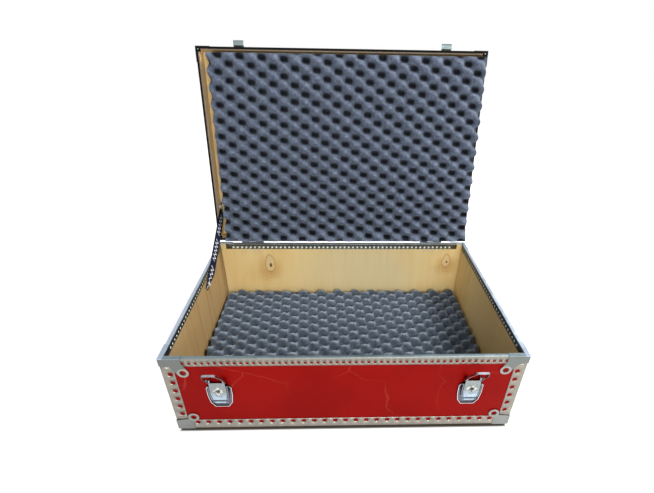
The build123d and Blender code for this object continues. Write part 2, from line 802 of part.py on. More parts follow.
def handle_plate():
    """Back plate of the right handle with two eyes."""
    rise, pivot_z = handle_pivot()
    outline = Rectangle(handle_plate_length, handle_plate_height)
    outline = chamfer(outline.vertices(), handle_plate_corner)
    plate = Pos(skin_x, 0, strip_z + handle_center_height) * extrude(Plane.YZ * outline, amount=handle_sheet)
    cut = handle_eye_radius / 2
    top = rise + handle_eye_radius
    profile = Polygon(
        (0, -handle_eye_radius), (top - cut, -handle_eye_radius), (top, -cut), (top, cut),
        (top - cut, handle_eye_radius), (0, handle_eye_radius), align=None,
    )
    eye = extrude(Plane.XZ * profile, amount=handle_eye_thickness / 2, both=True)
    for side in (-1, 1):
        plate += Pos(skin_x, side * handle_eye_spacing / 2, pivot_z) * eye
    drill = bore(handle_rod_radius, -handle_plate_length, handle_plate_length)
    return plate - Pos(skin_x + rise, 0, pivot_z) * Rot(0, 0, 90) * drill


def handle_bail():
    """Rod of the right handle: its ends turn in the eyes and it hangs down in front of the plate."""
    rise, pivot_z = handle_pivot()
    x = skin_x + rise
    end = handle_eye_spacing / 2 + handle_eye_thickness / 2 + handle_rod_end
    leg = handle_eye_spacing / 2 - handle_eye_thickness / 2 - 2 * handle_rod_radius
    low = pivot_z - handle_drop
    path = Polyline(
        (x, -end, pivot_z), (x, -leg, pivot_z), (x, -leg, low), (x, leg, low), (x, leg, pivot_z), (x, end, pivot_z)
    )
    section = Plane(origin=(x, -end, pivot_z), z_dir=(0, 1, 0)) * RegularPolygon(handle_rod_radius, pin_sides)
    return sweep(section, path=path, transition=Transition.RIGHT)


def handle_grip():
    """Grip sleeve on the lower run of the right handle's rod."""
    rise, pivot_z = handle_pivot()
    sleeve = extrude(RegularPolygon(grip_radius, washer_sides), amount=grip_length / 2, both=True)
    sleeve -= extrude(RegularPolygon(handle_rod_radius, pin_sides), amount=grip_length, both=True)
    return Pos(skin_x + rise, 0, pivot_z - handle_drop) * Rot(90, 0, 0) * sleeve


def handles():
    pieces = {"handle_plate": handle_plate(), "handle_bail": handle_bail(), "handle_grip": handle_grip()}
    nodes = {}
    for name, piece in pieces.items():
        nodes["right_" + name] = piece
        nodes["left_" + name] = flip_x(piece)
    return nodes


def lid_point(length, depth):
    """(y, z) of a point of the open lid, from its place along the lid and above its rim."""
    turn = radians(lid_open_angle)
    y = out_y - length - hinge_y
    z = lid_rim_z + depth - hinge_z
    return hinge_y + y * cos(turn) + z * sin(turn), hinge_z - y * sin(turn) + z * cos(turn)


def strap_foot():
    """(y, z) of the strap's lower screw."""
    return out_y - strap_base_point[0], strip_z + strap_base_point[1]


def stay_strap():
    """Webbing from the left wall of the base to the left wall of the open lid."""
    y0, z0 = strap_foot()
    y1, z1 = lid_point(*strap_lid_point)
    run = sqrt((y1 - y0) ** 2 + (z1 - z0) ** 2)
    plane = Plane(origin=(-in_x + steel + soft_gap, y0, z0), x_dir=(0, (y1 - y0) / run, (z1 - z0) / run), z_dir=(1, 0, 0))
    band = Pos(run / 2, 0) * Rectangle(run + 2 * strap_tail, strap_width)
    hole = RegularPolygon(strap_screw_radius + soft_gap, rivet_sides)
    band -= hole + Pos(run, 0) * hole
    return extrude(plane * band, amount=strap_thickness)


def strap_screw(y, z):
    """Screw with a spacer behind the webbing and a washer head on it, on the left wall."""
    lower = steel + soft_gap - strap_play
    upper = steel + 2 * soft_gap + strap_thickness - strap_play
    turn = Pos(-in_x, y, z) * Rot(0, 90, 0)
    stack = extrude(RegularPolygon(strap_washer_radius, washer_sides), amount=lower)
    stack += extrude(RegularPolygon(strap_screw_radius, rivet_sides), amount=upper)
    washer = extrude(RegularPolygon(strap_washer_radius, washer_sides), amount=strap_washer)
    return turn * (stack + Pos(0, 0, upper) * washer)


def rivet_row(places, height, face):
    """Heads at a row of x places, on a face at the given y that looks towards -Y."""
    return [Pos(x, face, height) * rivet_head_on() for x in places]


def hinge_rivets(height):
    """Heads on both hinge leaves of one body and their tails inside the rear wall."""
    places = [side * hinge_x + i * hinge_rivet_pitch for side in (-1, 1) for i in (-1, 0, 1)]
    outer = rivet_row(places, height, -strip_y - hinge_leaf)
    return [flip_y(head) for head in outer] + rivet_row(places, height, in_y)


def base_fasteners():
    """Rivet heads of the hinges and the strap's lower screw."""
    solids = hinge_rivets(rim_z - hinge_rivet_drop)
    solids.append(strap_screw(*strap_foot()))
    return {"base_fasteners": Compound(children=solids)}


def lid_fasteners():
    """Rivet heads of the lid's hinge leaves and keepers, and the strap's upper screw."""
    solids = hinge_rivets(lid_rim_z + hinge_rivet_drop)
    for x in (-latch_x, latch_x):
        places = (x - keeper_rivet_offset, x + keeper_rivet_offset)
        height = lid_rim_z + keeper_plate_top - keeper_rivet_drop
        solids += rivet_row(places, height, -strip_y - keeper_sheet)
    solids = [open_lid(head) for head in solids]
    solids.append(strap_screw(*lid_point(*strap_lid_point)))
    return {"lid_fasteners": Compound(children=solids)}


def build():
    nodes = {}
    for group in (base_panels(), base_skins(), base_rims(), base_edgings(), base_corners()):
        nodes.update(group)
    for group in (lid_panels(), lid_skins(), lid_rims(), lid_seal(), lid_corners()):
        nodes.update({name: open_lid(shape) for name, shape in group.items()})
    for group in (foams(), hinges(), latches(), handles(), base_fasteners(), lid_fasteners()):
        nodes.update(group)
    nodes["stay_strap"] = stay_strap()
    return nodes


os.makedirs("parts", exist_ok=True)
for node_name, node_shape in build().items():
    export_step(node_shape, f"parts/{node_name}.step")
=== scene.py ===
import json
import math

import bmesh
import bpy
import numpy as np
from mathutils import Matrix, Vector


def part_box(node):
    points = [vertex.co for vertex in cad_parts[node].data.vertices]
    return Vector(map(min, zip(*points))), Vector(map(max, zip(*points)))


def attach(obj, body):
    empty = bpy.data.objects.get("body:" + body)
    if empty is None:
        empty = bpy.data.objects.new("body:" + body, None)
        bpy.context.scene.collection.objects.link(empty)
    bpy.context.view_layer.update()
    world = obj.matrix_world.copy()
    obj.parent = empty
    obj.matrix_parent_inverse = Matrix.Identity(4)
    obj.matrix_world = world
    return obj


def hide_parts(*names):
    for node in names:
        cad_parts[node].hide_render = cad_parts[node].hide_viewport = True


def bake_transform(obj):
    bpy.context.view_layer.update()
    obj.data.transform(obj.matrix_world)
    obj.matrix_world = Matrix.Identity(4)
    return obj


# Looks of a plywood tool case with perforated steel edging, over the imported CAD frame. Metres, +Z up, with
# the front of the case towards -Y. At rest the lid stands open by the whole range of its hinge.

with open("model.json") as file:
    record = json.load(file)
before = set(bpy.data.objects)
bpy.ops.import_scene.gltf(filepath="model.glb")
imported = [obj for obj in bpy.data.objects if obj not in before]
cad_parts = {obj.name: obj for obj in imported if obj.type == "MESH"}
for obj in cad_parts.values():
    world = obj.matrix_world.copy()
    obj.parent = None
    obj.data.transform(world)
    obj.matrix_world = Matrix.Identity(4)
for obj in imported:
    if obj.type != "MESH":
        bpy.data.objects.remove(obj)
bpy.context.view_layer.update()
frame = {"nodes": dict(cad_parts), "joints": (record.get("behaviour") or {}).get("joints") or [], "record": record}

# Sheet, with the steps of a quarter bend and of one pitch
STEEL = 0.0009
BEND = 0.0012
BEND_STEPS = 3
CELL_STEPS = 4

# Soft edges
CORNER_BEVEL = 0.0005
FITTING_BEVEL = 0.00035
BEVEL_SEGMENTS = 2
BEVEL_FROM = math.radians(28)
SHARP_FROM = math.radians(35)
WELD = 1e-6

# Rim channel: its flanges, the height of their holes and the plain length at each end
RIM_OUTER = 0.019
RIM_INNER = 0.016
RIM_PITCH = 0.012
RIM_HOLE = 0.0029
RIM_OUTER_DROP = 0.012
RIM_INNER_DROP = 0.0104
RIM_MARGIN = 0.043
INNER_SETBACK = 0.014

# Rim of the lid, with a rubber pad and a rivet at each corner
LID_LIP = 0.005
PAD_SIDE = 0.0115
PAD_THICKNESS = 0.9 * STEEL
PAD_RIVET_INSET = 0.0056
PAD_RIVET_RADIUS = 0.0024
PAD_RIVET_RISE = 0.00012
PAD_RIVET_SIDES = 16

# Edging along the bottom of the base, the top of the lid and the uprights
EDGE_LEG = 0.025
EDGE_PITCH = 0.0219
EDGE_HOLE = 0.005
EDGE_RISE = 0.0183
EDGE_MARGIN = 0.042
UPRIGHT_LEG = 0.024
UPRIGHT_PITCH = 0.0222
UPRIGHT_INSET = 0.016
UPRIGHT_MARGIN = 0.012

# Rings pressed round the holes of the corners, and where they sit from each vertex
RING_RADIUS = 0.0089
RING_TUBE = 0.0023
RING_FLATTEN = 0.45
RING_STEPS = 40
RING_SIDES = 12
RIM_EAR = (0.041, 0.036)
FOOT_EAR = (0.0375, 0.0355)
LID_EAR = (0.031, 0.029)

# Foam: a lattice of mounds turned about the middle of the case, with a peak at the given place. Calm flattens
# the mounds near the ends and the long edges, and the sag thickens the lid's foam along its hinge edge.
FOAM_STEP = 0.0026
FOAM_SIDE_SHADE = 0.5
FOAM = {
    "Pitch": (0.0514, 0.0359, 1.0),
    "Sharpness": 0.72,
    "Skew": 0.10,
    "Edge Level": 0.60,
    "Edge Reach": 0.006,
    "Sag Reach": 0.05,
}
LID_FOAM = FOAM | {
    "Low": (-0.3174, -0.2204, 0.0),
    "High": (0.3390, 0.2267, 0.0),
    "Thickness": 0.0800,
    "Relief": 0.031,
    "Turn": math.radians(2.9),
    "Peak": (0.0302, 0.0134, 0.0),
    "Calm": (0.0, 0.85, 0.0),
    "Sag": 0.0135,
    "Shade Shift": (0.0, 0.0, 0.0),
    "Shade Base": 0.0,
}
FLOOR_FOAM = FOAM | {
    "Thickness": 0.045,
    "Relief": 0.024,
    "Turn": math.radians(3.1),
    "Peak": (-0.0021, -0.0032, 0.0),
    "Calm": (0.4, 0.1, 0.0),
    "Sag": 0.0,
    "Shade Shift": (-0.06, 0.38, 0.0),
    "Shade Base": 1.0,
}
LID_WALL = 0.0077
LID_CEILING_GAP = 0.0003

# Strap: it narrows where its screws gather it, and twists and sways between them
STRAP_WIDTH = 0.030
STRAP_THICKNESS = 0.0016
STRAP_TWIST = math.radians(-13)
STRAP_SWAY = 0.0046
STRAP_EASE = 0.20
STRAP_GATHER = 0.55
STRAP_SLIM = 0.84
STRAP_STEPS = 40

# Woven line of the strap, in waves per metre along it and in widths across it
WEAVE_RIBS = 1400.0
WEAVE_SWAY = 520.0
WEAVE_SWAY_WIDTH = 0.20
WEAVE_MIDDLE = 0.52
WEAVE_THREAD = (0.08, 0.12)
WEAVE_DASHES = 12.0
WEAVE_DASH_SHARE = 0.78

# Lever's painted light and shade: heights above the bottom of the case's walls, widths from the latch's middle
LEVER_SHADE = (0.088, 0.118)
LEVER_FOOT = 0.084
LEVER_TAPER = 0.2
LEVER_HALF = (0.0138, 0.0188)
GROOVE_SHADE_INNER = (0.0026, 0.0040)
GROOVE_SHADE_OUTER = (0.0002, 0.0012)
LOCK_RISE = 0.117
LOCK_HIGHLIGHT = (0.006, 0.014)
KEYHOLE_SHADE = (0.0035, 0.0065)

# Knots of the rear board: x, z, half width and half height
KNOTS = ((-0.209, 0.141, 0.0135, 0.030), (0.303, 0.149, 0.0125, 0.023))
KNOT_DEPTH = 0.02
KNOT_HEART_SHIFT = (0.001, -0.004)
KNOT_RINGS = 17.0

# Photograph
PHOTO = (654, 493)
FOCAL_PX = 405.73
CENTRE_SHIFT_PX = (22.10, 42.06)
CAMERA_PLACE = (-0.0217, -0.7975, 0.7292)
CAMERA_PITCH = math.radians(33.344)
CAMERA_YAW = math.radians(-2.388)
CAMERA_ROLL = math.radians(1.159)
SENSOR_WIDTH = 36.0
CLIP = (0.01, 50)

# Light: lamps by name, place, target, side and power
LAMPS = (
    ("key", (1.2, -1.5, 1.9), (0, 0, 0.2), 1.4, 8),
    ("front", (0.28, -1.9, 1.0), (-0.2, 0.3, 0.4), 0.6, 24),
    ("top", (1.5, 0.1, 1.9), (0, 0, 0.1), 0.8, 50),
)
WORLD_FILL = 0.72
FLOOR_HALF = 6
FLOOR_LIFT = 0.36
CONTACT_SHADE = (-0.003, 0.003)

# Places from the frame
joints = {joint["name"]: joint for joint in frame["joints"]}
HINGE = Vector(joints["lid_hinge"]["pos_m"])
LID_OPEN = math.radians(joints["lid_hinge"]["range_deg"][1])
OPEN_LID = Matrix.Translation(HINGE) @ Matrix.Rotation(-LID_OPEN, 4, "X") @ Matrix.Translation(-HINGE)
UPSIDE_DOWN = Matrix.Diagonal((1, 1, -1, 1))
LATCH_X = joints["right_lever_hinge"]["pos_m"][0]
channel_low, channel_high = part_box("front_rim_channel")
STRIP_X = channel_high.x
STRIP_Y = -channel_low.y
RIM_Z = channel_high.z
CHANNEL = channel_high.y - channel_low.y
STRIP_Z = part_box("front_bottom_edging")[0].z
REAR_WALL_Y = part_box("base_rear_panel")[0].y
END_WALL_MARGIN = 0.0009
END_WALL_X = -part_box("base_left_panel")[1].x - END_WALL_MARGIN

# The lid's rim lies on the base's when the lid is shut
LID_HEIGHT = 0.046
LID_RIM_Z = 2 * HINGE.z - RIM_Z
RIM_NORMAL = OPEN_LID.to_3x3() @ Vector((0, 0, -1))
RIM_PLANE = RIM_NORMAL.dot(OPEN_LID @ Vector((0, 0, LID_RIM_Z + STEEL)))

# Bands of the steel's painted sky reflection and paler low part, of the painted light on the wood behind the rim's
# holes and of the lid's cut edges, and how far plating varies
RIM_TOP = (RIM_Z - 0.0005, RIM_Z + 0.0020)
LOW_STEEL_Z = 0.06
BEHIND_RIM = (RIM_Z - RIM_INNER + 0.001, RIM_Z)
BEHIND_CORNER = (0.0315, 0.0005)
CUT_EDGE = (RIM_PLANE - 0.0004, RIM_PLANE + 0.0004)
PLATING_MOTTLE = 0.06
ROUGHNESS_SPREAD = 0.15


# Shapes are pairs of vertices and faces


def moved(shape, matrix):
    verts, faces = shape
    turn = np.array(matrix.to_3x3())
    verts = np.asarray(verts) @ turn.T + np.array(matrix.translation)
    if np.linalg.det(turn) < 0:
        faces = [tuple(reversed(face)) for face in faces]
    return verts, faces


def joined(shapes):
    verts, faces, count = [], [], 0
    for points, polygons in shapes:
        verts.append(np.asarray(points))
        faces += [tuple(i + count for i in polygon) for polygon in polygons]
        count += len(points)
    return np.concatenate(verts), faces


def mirrors(shape, x=True, y=True):
    """The shape and its mirror images across the case's middle planes."""
    shapes = [shape]
    if x:
        shapes += [moved(s, Matrix.Diagonal((-1, 1, 1, 1))) for s in shapes]
    if y:
        shapes += [moved(s, Matrix.Diagonal((1, -1, 1, 1))) for s in shapes]
    return joined(shapes)


def prism(outline, low, high):
    """A closed upright block over an outline that runs counterclockwise."""
    count = len(outline)
    verts = [(x, y, z) for z in (low, high) for x, y in outline]
    faces = [tuple(reversed(range(count))), tuple(range(count, 2 * count))]
    faces += [(k, (k + 1) % count, count + (k + 1) % count, count + k) for k in range(count)]
    return verts, faces


def mesh_from(name, shape, merge=WELD):
    verts, faces = shape
    mesh = bpy.data.meshes.new(name)
    mesh.from_pydata([tuple(v) for v in verts], [], faces)
    mesh.validate()
    if merge:
        weld(mesh, merge)
    return mesh


def weld(mesh, distance):
    work = bmesh.new()
    work.from_mesh(mesh)
    bmesh.ops.remove_doubles(work, verts=work.verts, dist=distance)
    work.to_mesh(mesh)
    work.free()


def shape_of(mesh):
    verts = np.empty(len(mesh.vertices) * 3)
    mesh.vertices.foreach_get("co", verts)
    return verts.reshape(-1, 3), [tuple(polygon.vertices) for polygon in mesh.polygons]


def piece(name, shape, slot, body=None, material=None, smooth=True, merge=WELD):
    """An object that rides on a body, with the finish of a record slot or one of its own."""
    obj = bpy.data.objects.new(name, mesh_from(name, shape, merge))
    bpy.context.scene.collection.objects.link(obj)
    obj.data.materials.append(material or MATERIALS[slot])
    if smooth:
        obj.data.shade_smooth()
        obj.data.set_sharp_from_angle(angle=SHARP_FROM)
    if body:
        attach(obj, body)
    return obj


def solidified(obj, thickness):
    modifier = obj.modifiers.new("sheet", "SOLIDIFY")
    modifier.thickness = thickness
    modifier.offset = -1


def bevelled(obj, width):
    welded = obj.modifiers.new("weld", "WELD")
    welded.merge_threshold = WELD
    modifier = obj.modifiers.new("edge", "BEVEL")
    modifier.width = width
    modifier.segments = BEVEL_SEGMENTS
    modifier.limit_method = "ANGLE"
    modifier.angle_limit = BEVEL_FROM


# Node trees


class Tree:
    """Short ways to add and link the nodes of one tree."""

    def __init__(self, tree):
        self.nodes = tree.nodes
        self.links = tree.links

    def add(self, kind, **inputs):
        return self.fill(self.nodes.new(kind), **inputs)

    def fill(self, node, **inputs):
        for name, value in inputs.items():
            self.put(node.inputs[name.replace("_", " ")], value)
        return node

    def put(self, socket, value):
        """Links or sets a socket. A colour is given by its three numbers."""
        if isinstance(value, bpy.types.NodeSocket):
            self.links.new(value, socket)
        elif socket.type == "RGBA":
            socket.default_value = (*value, 1.0)
        else:
            socket.default_value = value

    def math(self, operation, *values, kind="ShaderNodeMath", output=0):
        node = self.nodes.new(kind)
        node.operation = operation
        for socket, value in zip(node.inputs, values):
            self.put(socket, value)
        return node.outputs[output]

    def times(self, value, *others):
        for other in others:
            value = self.math("MULTIPLY", value, other)
        return value

    def minus(self, value, other):
        return self.math("SUBTRACT", value, other)

    def vector(self, operation, *values):
        output = "Value" if operation == "LENGTH" else "Vector"
        return self.math(operation, *values, kind="ShaderNodeVectorMath", output=output)

    def split(self, vector):
        return tuple(self.add("ShaderNodeSeparateXYZ", Vector=vector).outputs)

    def between(self, value, low, high):
        """1 between two values and 0 elsewhere."""
        above = self.math("GREATER_THAN", value, low)
        return self.times(above, self.math("LESS_THAN", value, high))

    def ramp(self, value, low, high, low_to=0.0, high_to=1.0):
        """A smooth step from one result to another between two values."""
        node = self.add("ShaderNodeMapRange", Value=value, From_Min=low, From_Max=high)
        node.interpolation_type = "SMOOTHSTEP"
        return self.fill(node, To_Min=low_to, To_Max=high_to).outputs["Result"]

    def mix(self, factor, first, second):
        node = self.nodes.new("ShaderNodeMix")
        node.data_type = "RGBA"
        self.put(node.inputs["Factor"], factor)
        self.put(node.inputs[6], first)
        self.put(node.inputs[7], second)
        return node.outputs[2]

    def noise(self, vector, scale, detail=3, roughness=0.5, distortion=0.0):
        node = self.add("ShaderNodeTexNoise", Vector=vector, Scale=scale, Detail=detail)
        return self.fill(node, Roughness=roughness, Distortion=distortion).outputs["Fac"]


def node_group(name, kind, inputs, outputs):
    """A new group with named sockets, its tree, and its inputs and outputs as they look from inside."""
    group = bpy.data.node_groups.new(name, kind)
    for in_out, sockets in (("INPUT", inputs), ("OUTPUT", outputs)):
        for label, socket in sockets:
            group.interface.new_socket(label, in_out=in_out, socket_type="NodeSocket" + socket)
    tree = Tree(group)
    given = tree.add("NodeGroupInput").outputs
    result = tree.add("NodeGroupOutput").inputs
    return group, tree, given, result


def mottle_group():
    """Shader group of cloudy spots, and of the tone that runs with them from darkest to lightest."""
    numbers = ("Scale", "Detail", "Grain", "Low", "High", "Darkest", "Lightest")
    inputs = [("Vector", "Vector")] + [(number, "Float") for number in numbers]
    group, tree, given, result = node_group(
        "mottle", "ShaderNodeTree", inputs, [("Spots", "Float"), ("Tone", "Float")]
    )
    spots = tree.noise(given["Vector"], given["Scale"], given["Detail"], given["Grain"])
    tone = tree.ramp(spots, given["Low"], given["High"], given["Darkest"], given["Lightest"])
    tree.put(result["Spots"], spots)
    tree.put(result["Tone"], tone)
    return group


MOTTLE = mottle_group()


class Finish(Tree):
    """One material and its tree."""

    def __init__(self, name):
        self.material = bpy.data.materials.new(name)
        self.material.use_nodes = True
        super().__init__(self.material.node_tree)
        self.main = self.nodes["Principled BSDF"]

    def set(self, **inputs):
        self.fill(self.main, **inputs)
        return self

    def place(self, scale=(1, 1, 1)):
        place = self.add("ShaderNodeTexCoord").outputs["Object"]
        return self.add("ShaderNodeMapping", Vector=place, Scale=scale).outputs["Vector"]

    def mottle(self, darkest, lightest, scale=45, detail=4, low=0.3, high=0.7, grain=0.5):
        """Spots and tone of the mottle group."""
        node = self.nodes.new("ShaderNodeGroup")
        node.node_tree = MOTTLE
        self.fill(node, Vector=self.place(), Scale=scale, Detail=detail, Grain=grain)
        self.fill(node, Low=low, High=high, Darkest=darkest, Lightest=lightest)
        return node.outputs["Spots"], node.outputs["Tone"]

    def tinted(self, base, tone):
        return self.add("ShaderNodeHueSaturation", Color=base, Value=tone).outputs["Color"]

    def bump(self, height, strength, distance):
        node = self.add("ShaderNodeBump", Height=height, Strength=strength, Distance=distance)
        self.set(Normal=node.outputs["Normal"])


# Finishes of steel and zinc


def plated(finish, base, roughness, metallic=1.0, mottle=PLATING_MOTTLE):
    """Cloudy plating, where tone and roughness run with the same spots."""
    spots, tone = finish.mottle(1 - mottle, 1 + mottle)
    low, high = roughness * (1 - ROUGHNESS_SPREAD), roughness * (1 + ROUGHNESS_SPREAD)
    finish.set(Base_Color=finish.tinted(base, tone), Metallic=metallic)
    return finish.set(Roughness=finish.ramp(spots, 0.3, 0.7, low, high)).material


def metal(name, base, roughness, metallic=1.0, mottle=PLATING_MOTTLE):
    """Plated metal of one colour."""
    return plated(Finish(name), base, roughness, metallic, mottle)


def plated_steel(name, roughness, base, front_top_painted_sky, rear_top_painted_sky, side_top_painted_sky, inside_painted_shading, inside_ends_painted_shading, low):
    """Plated sheet: a painted sky reflection on the rim's top, painted shading on inner flanges, paler low down.
    """
    finish = Finish(name)
    x, y, height = finish.split(finish.place())
    width, depth = finish.math("ABSOLUTE", x), finish.math("ABSOLUTE", y)
    side = finish.math("GREATER_THAN", width, STRIP_X - CHANNEL)
    rear = finish.math("GREATER_THAN", y, STRIP_Y - CHANNEL)
    # Painted reflection of a bluish sky on the top faces of the rim, by side
    top = finish.mix(rear, front_top_painted_sky, rear_top_painted_sky)
    top = finish.mix(side, top, side_top_painted_sky)
    shade = finish.mix(finish.between(height, *RIM_TOP), base, top)
    # Painted shading on the inner flanges of the case, with a second colour near the ends
    in_painted_shading = finish.times(
        finish.math("LESS_THAN", width, STRIP_X - CHANNEL + STEEL / 2),
        finish.math("LESS_THAN", depth, STRIP_Y - CHANNEL + STEEL / 2),
        finish.math("LESS_THAN", height, RIM_Z - BEND),
    )
    at_ends = finish.math("GREATER_THAN", width, STRIP_X - CHANNEL - 2 * STEEL)
    shade = finish.mix(in_painted_shading, shade, finish.mix(at_ends, inside_painted_shading, inside_ends_painted_shading))
    shade = finish.mix(finish.math("LESS_THAN", height, LOW_STEEL_Z), shade, low)
    return plated(finish, shade, roughness)


def painted_lever_shading(finish, shade, x, height, spots):
    """Painted shade of a groove along the lever's edges, a painted highlight round the lock, and painted keyhole
    shade.
    """
    across = finish.math("ABSOLUTE", finish.minus(finish.math("ABSOLUTE", x), LATCH_X))
    half = finish.times(finish.minus(height, STRIP_Z + LEVER_FOOT), LEVER_TAPER)
    half = finish.math("MINIMUM", finish.math("ADD", half, LEVER_HALF[0]), LEVER_HALF[1])
    inset = finish.minus(half, across)
    outer, inner = finish.ramp(inset, *GROOVE_SHADE_OUTER), finish.ramp(inset, *GROOVE_SHADE_INNER, 1.0, 0.0)
    # Painted shade of a groove along the lever's edges
    shade = finish.mix(finish.times(outer, inner, 0.85), shade, (0.045, 0.055, 0.070))
    rise = finish.math("ABSOLUTE", finish.minus(height, STRIP_Z + LOCK_RISE))
    lock = finish.math("ADD", across, rise)
    # Painted highlight in a lozenge round the lock
    halo = finish.times(finish.ramp(lock, *LOCK_HIGHLIGHT, 1.0, 0.0), finish.ramp(spots, 0.40, 0.60))
    shade = finish.mix(halo, shade, (0.60, 0.60, 0.54))
    # Painted shade in the lock's keyhole
    return finish.mix(finish.ramp(lock, *KEYHOLE_SHADE, 0.92, 0.0), shade, (0.035, 0.035, 0.035))


def latch_zinc(name, face_low_painted_light, face_high_painted_light, deep_painted_shade, face_depth, with_painted_shading=False):
    """Bright plating with painted light and shade by height on a latch's face, and painted shade where it lies
    deeper.
    """
    finish = Finish(name)
    spots, tone = finish.mottle(0.85, 1.12, scale=160, detail=3)
    x, y, height = finish.split(finish.place())
    # Painted light and shade that change with height on a latch's face
    rise = finish.ramp(height, STRIP_Z + LEVER_SHADE[0], STRIP_Z + LEVER_SHADE[1])
    shade = finish.mix(rise, face_low_painted_light, face_high_painted_light)
    if with_painted_shading:
        shade = painted_lever_shading(finish, shade, x, height, spots)
    # Painted shade where a latch's piece lies deeper than its face
    sunk_in_painted_shade = finish.math("GREATER_THAN", y, -STRIP_Y + STEEL - face_depth)
    shade = finish.mix(sunk_in_painted_shade, shade, deep_painted_shade)
    finish.set(Base_Color=finish.tinted(shade, tone), Metallic=1.0, Roughness=0.24)
    return finish.material


# Finishes of the boards


def laminate():
    """Deep red laminate with a few fine, faint light veins."""
    finish = Finish("red_laminate")
    spot = finish.place()
    cloud = finish.ramp(finish.noise(spot, 7, 3), 0.3, 0.7)
    base = finish.mix(cloud, (0.172, 0.0013, 0.0006), (0.208, 0.0024, 0.0014))
    warp = finish.add("ShaderNodeTexNoise", Vector=spot, Scale=6.0, Detail=5.0)
    bent = finish.vector("MULTIPLY", warp.outputs["Color"], (0.14, 0.14, 0.05))
    cells = finish.add("ShaderNodeTexVoronoi", Scale=5.5)
    cells.feature = "DISTANCE_TO_EDGE"
    finish.put(cells.inputs["Vector"], finish.vector("ADD", spot, bent))
    line = finish.ramp(cells.outputs["Distance"], 0.0, 0.008, 1.0, 0.0)
    patch = finish.ramp(finish.noise(spot, 9, 2), 0.44, 0.62)
    vein = finish.times(line, patch, 0.13)
    finish.set(Base_Color=finish.mix(vein, base, (0.60, 0.14, 0.085)), Roughness=0.45)
    return finish.set(Specular_IOR_Level=0.035).material


def veneer(finish, spot, x):
    """Birch face veneer with soft upright streaks, cloudy patches and a paler middle."""
    streak = finish.noise(finish.place((14, 22, 2.0)), 1.0, 5, 0.6, 0.8)
    cloud = finish.noise(spot, 4, 2)
    base = finish.mix(finish.ramp(streak, 0.36, 0.70), (0.83, 0.62, 0.275), (0.76, 0.52, 0.200))
    base = finish.mix(finish.ramp(cloud, 0.42, 0.68, 0.0, 0.55), base, (0.77, 0.625, 0.340))
    paler = finish.ramp(cloud, 0.30, 0.60, 0.3, 0.7)
    paler = finish.times(finish.ramp(x, -0.25, 0.10), paler, finish.ramp(x, 0.14, 0.27, 1.0, 0.1))
    return finish.mix(paler, base, (0.66, 0.555, 0.325))


def grained(finish, base, left):
    """Dark lines of upright grain, strong on the left boards, over fine pores."""
    line = finish.noise(finish.place((70, 75, 2.6)), 1.0, 4, 0.6, 0.5)
    fine = finish.noise(finish.place((420, 420, 9)), 1.0, 3)
    strength = finish.math("ADD", finish.times(left, 0.85), 0.05)
    line = finish.times(finish.ramp(line, 0.52, 0.68), strength)
    base = finish.mix(line, base, (0.36, 0.170, 0.050))
    return finish.mix(finish.ramp(fine, 0.40, 0.75, 0.0, 0.08), base, (0.42, 0.24, 0.085))


def painted_board_shading(finish, base, y, left, right, raised):
    """Painted shade on the tray's left board and the right boards, darker to the front, and painted light on the
    lid's left.
    """
    painted_shade = finish.times(left, finish.minus(1.0, raised))
    right_painted_shade = finish.times(right, finish.ramp(y, -0.12, 0.21, 0.80, 0.10))
    painted_shade = finish.math("MAXIMUM", painted_shade, right_painted_shade)
    # Painted shade on the end boards
    base = finish.mix(finish.times(painted_shade, 0.80), base, (0.255, 0.155, 0.066))
    # Painted light on the lid's left board
    return finish.mix(finish.times(left, raised), base, (0.98, 0.72, 0.39))


def painted_light_behind_rim(finish, base, x, y, height):
    """Painted light on the wood behind the holes of the base's rim, but not near its corners."""
    lit_behind_rim = finish.between(height, *BEHIND_RIM)
    for place, half in ((x, STRIP_X), (y, STRIP_Y)):
        inner = half - CHANNEL
        reach = finish.math("ABSOLUTE", place)
        near_corner = finish.between(reach, inner - BEHIND_CORNER[0], inner - BEHIND_CORNER[1])
        lit_behind_rim = finish.times(lit_behind_rim, finish.minus(1.0, near_corner))
    return finish.mix(lit_behind_rim, base, (0.97, 0.93, 0.84))


def knot_reach(finish, spot, x, z, width, tall):
    """Distance from the middle of an upright ellipse on the rear board, in units of its half size."""
    offset = finish.vector("SUBTRACT", spot, (x, REAR_WALL_Y, z))
    return finish.vector("LENGTH", finish.vector("DIVIDE", offset, (width, KNOT_DEPTH, tall)))


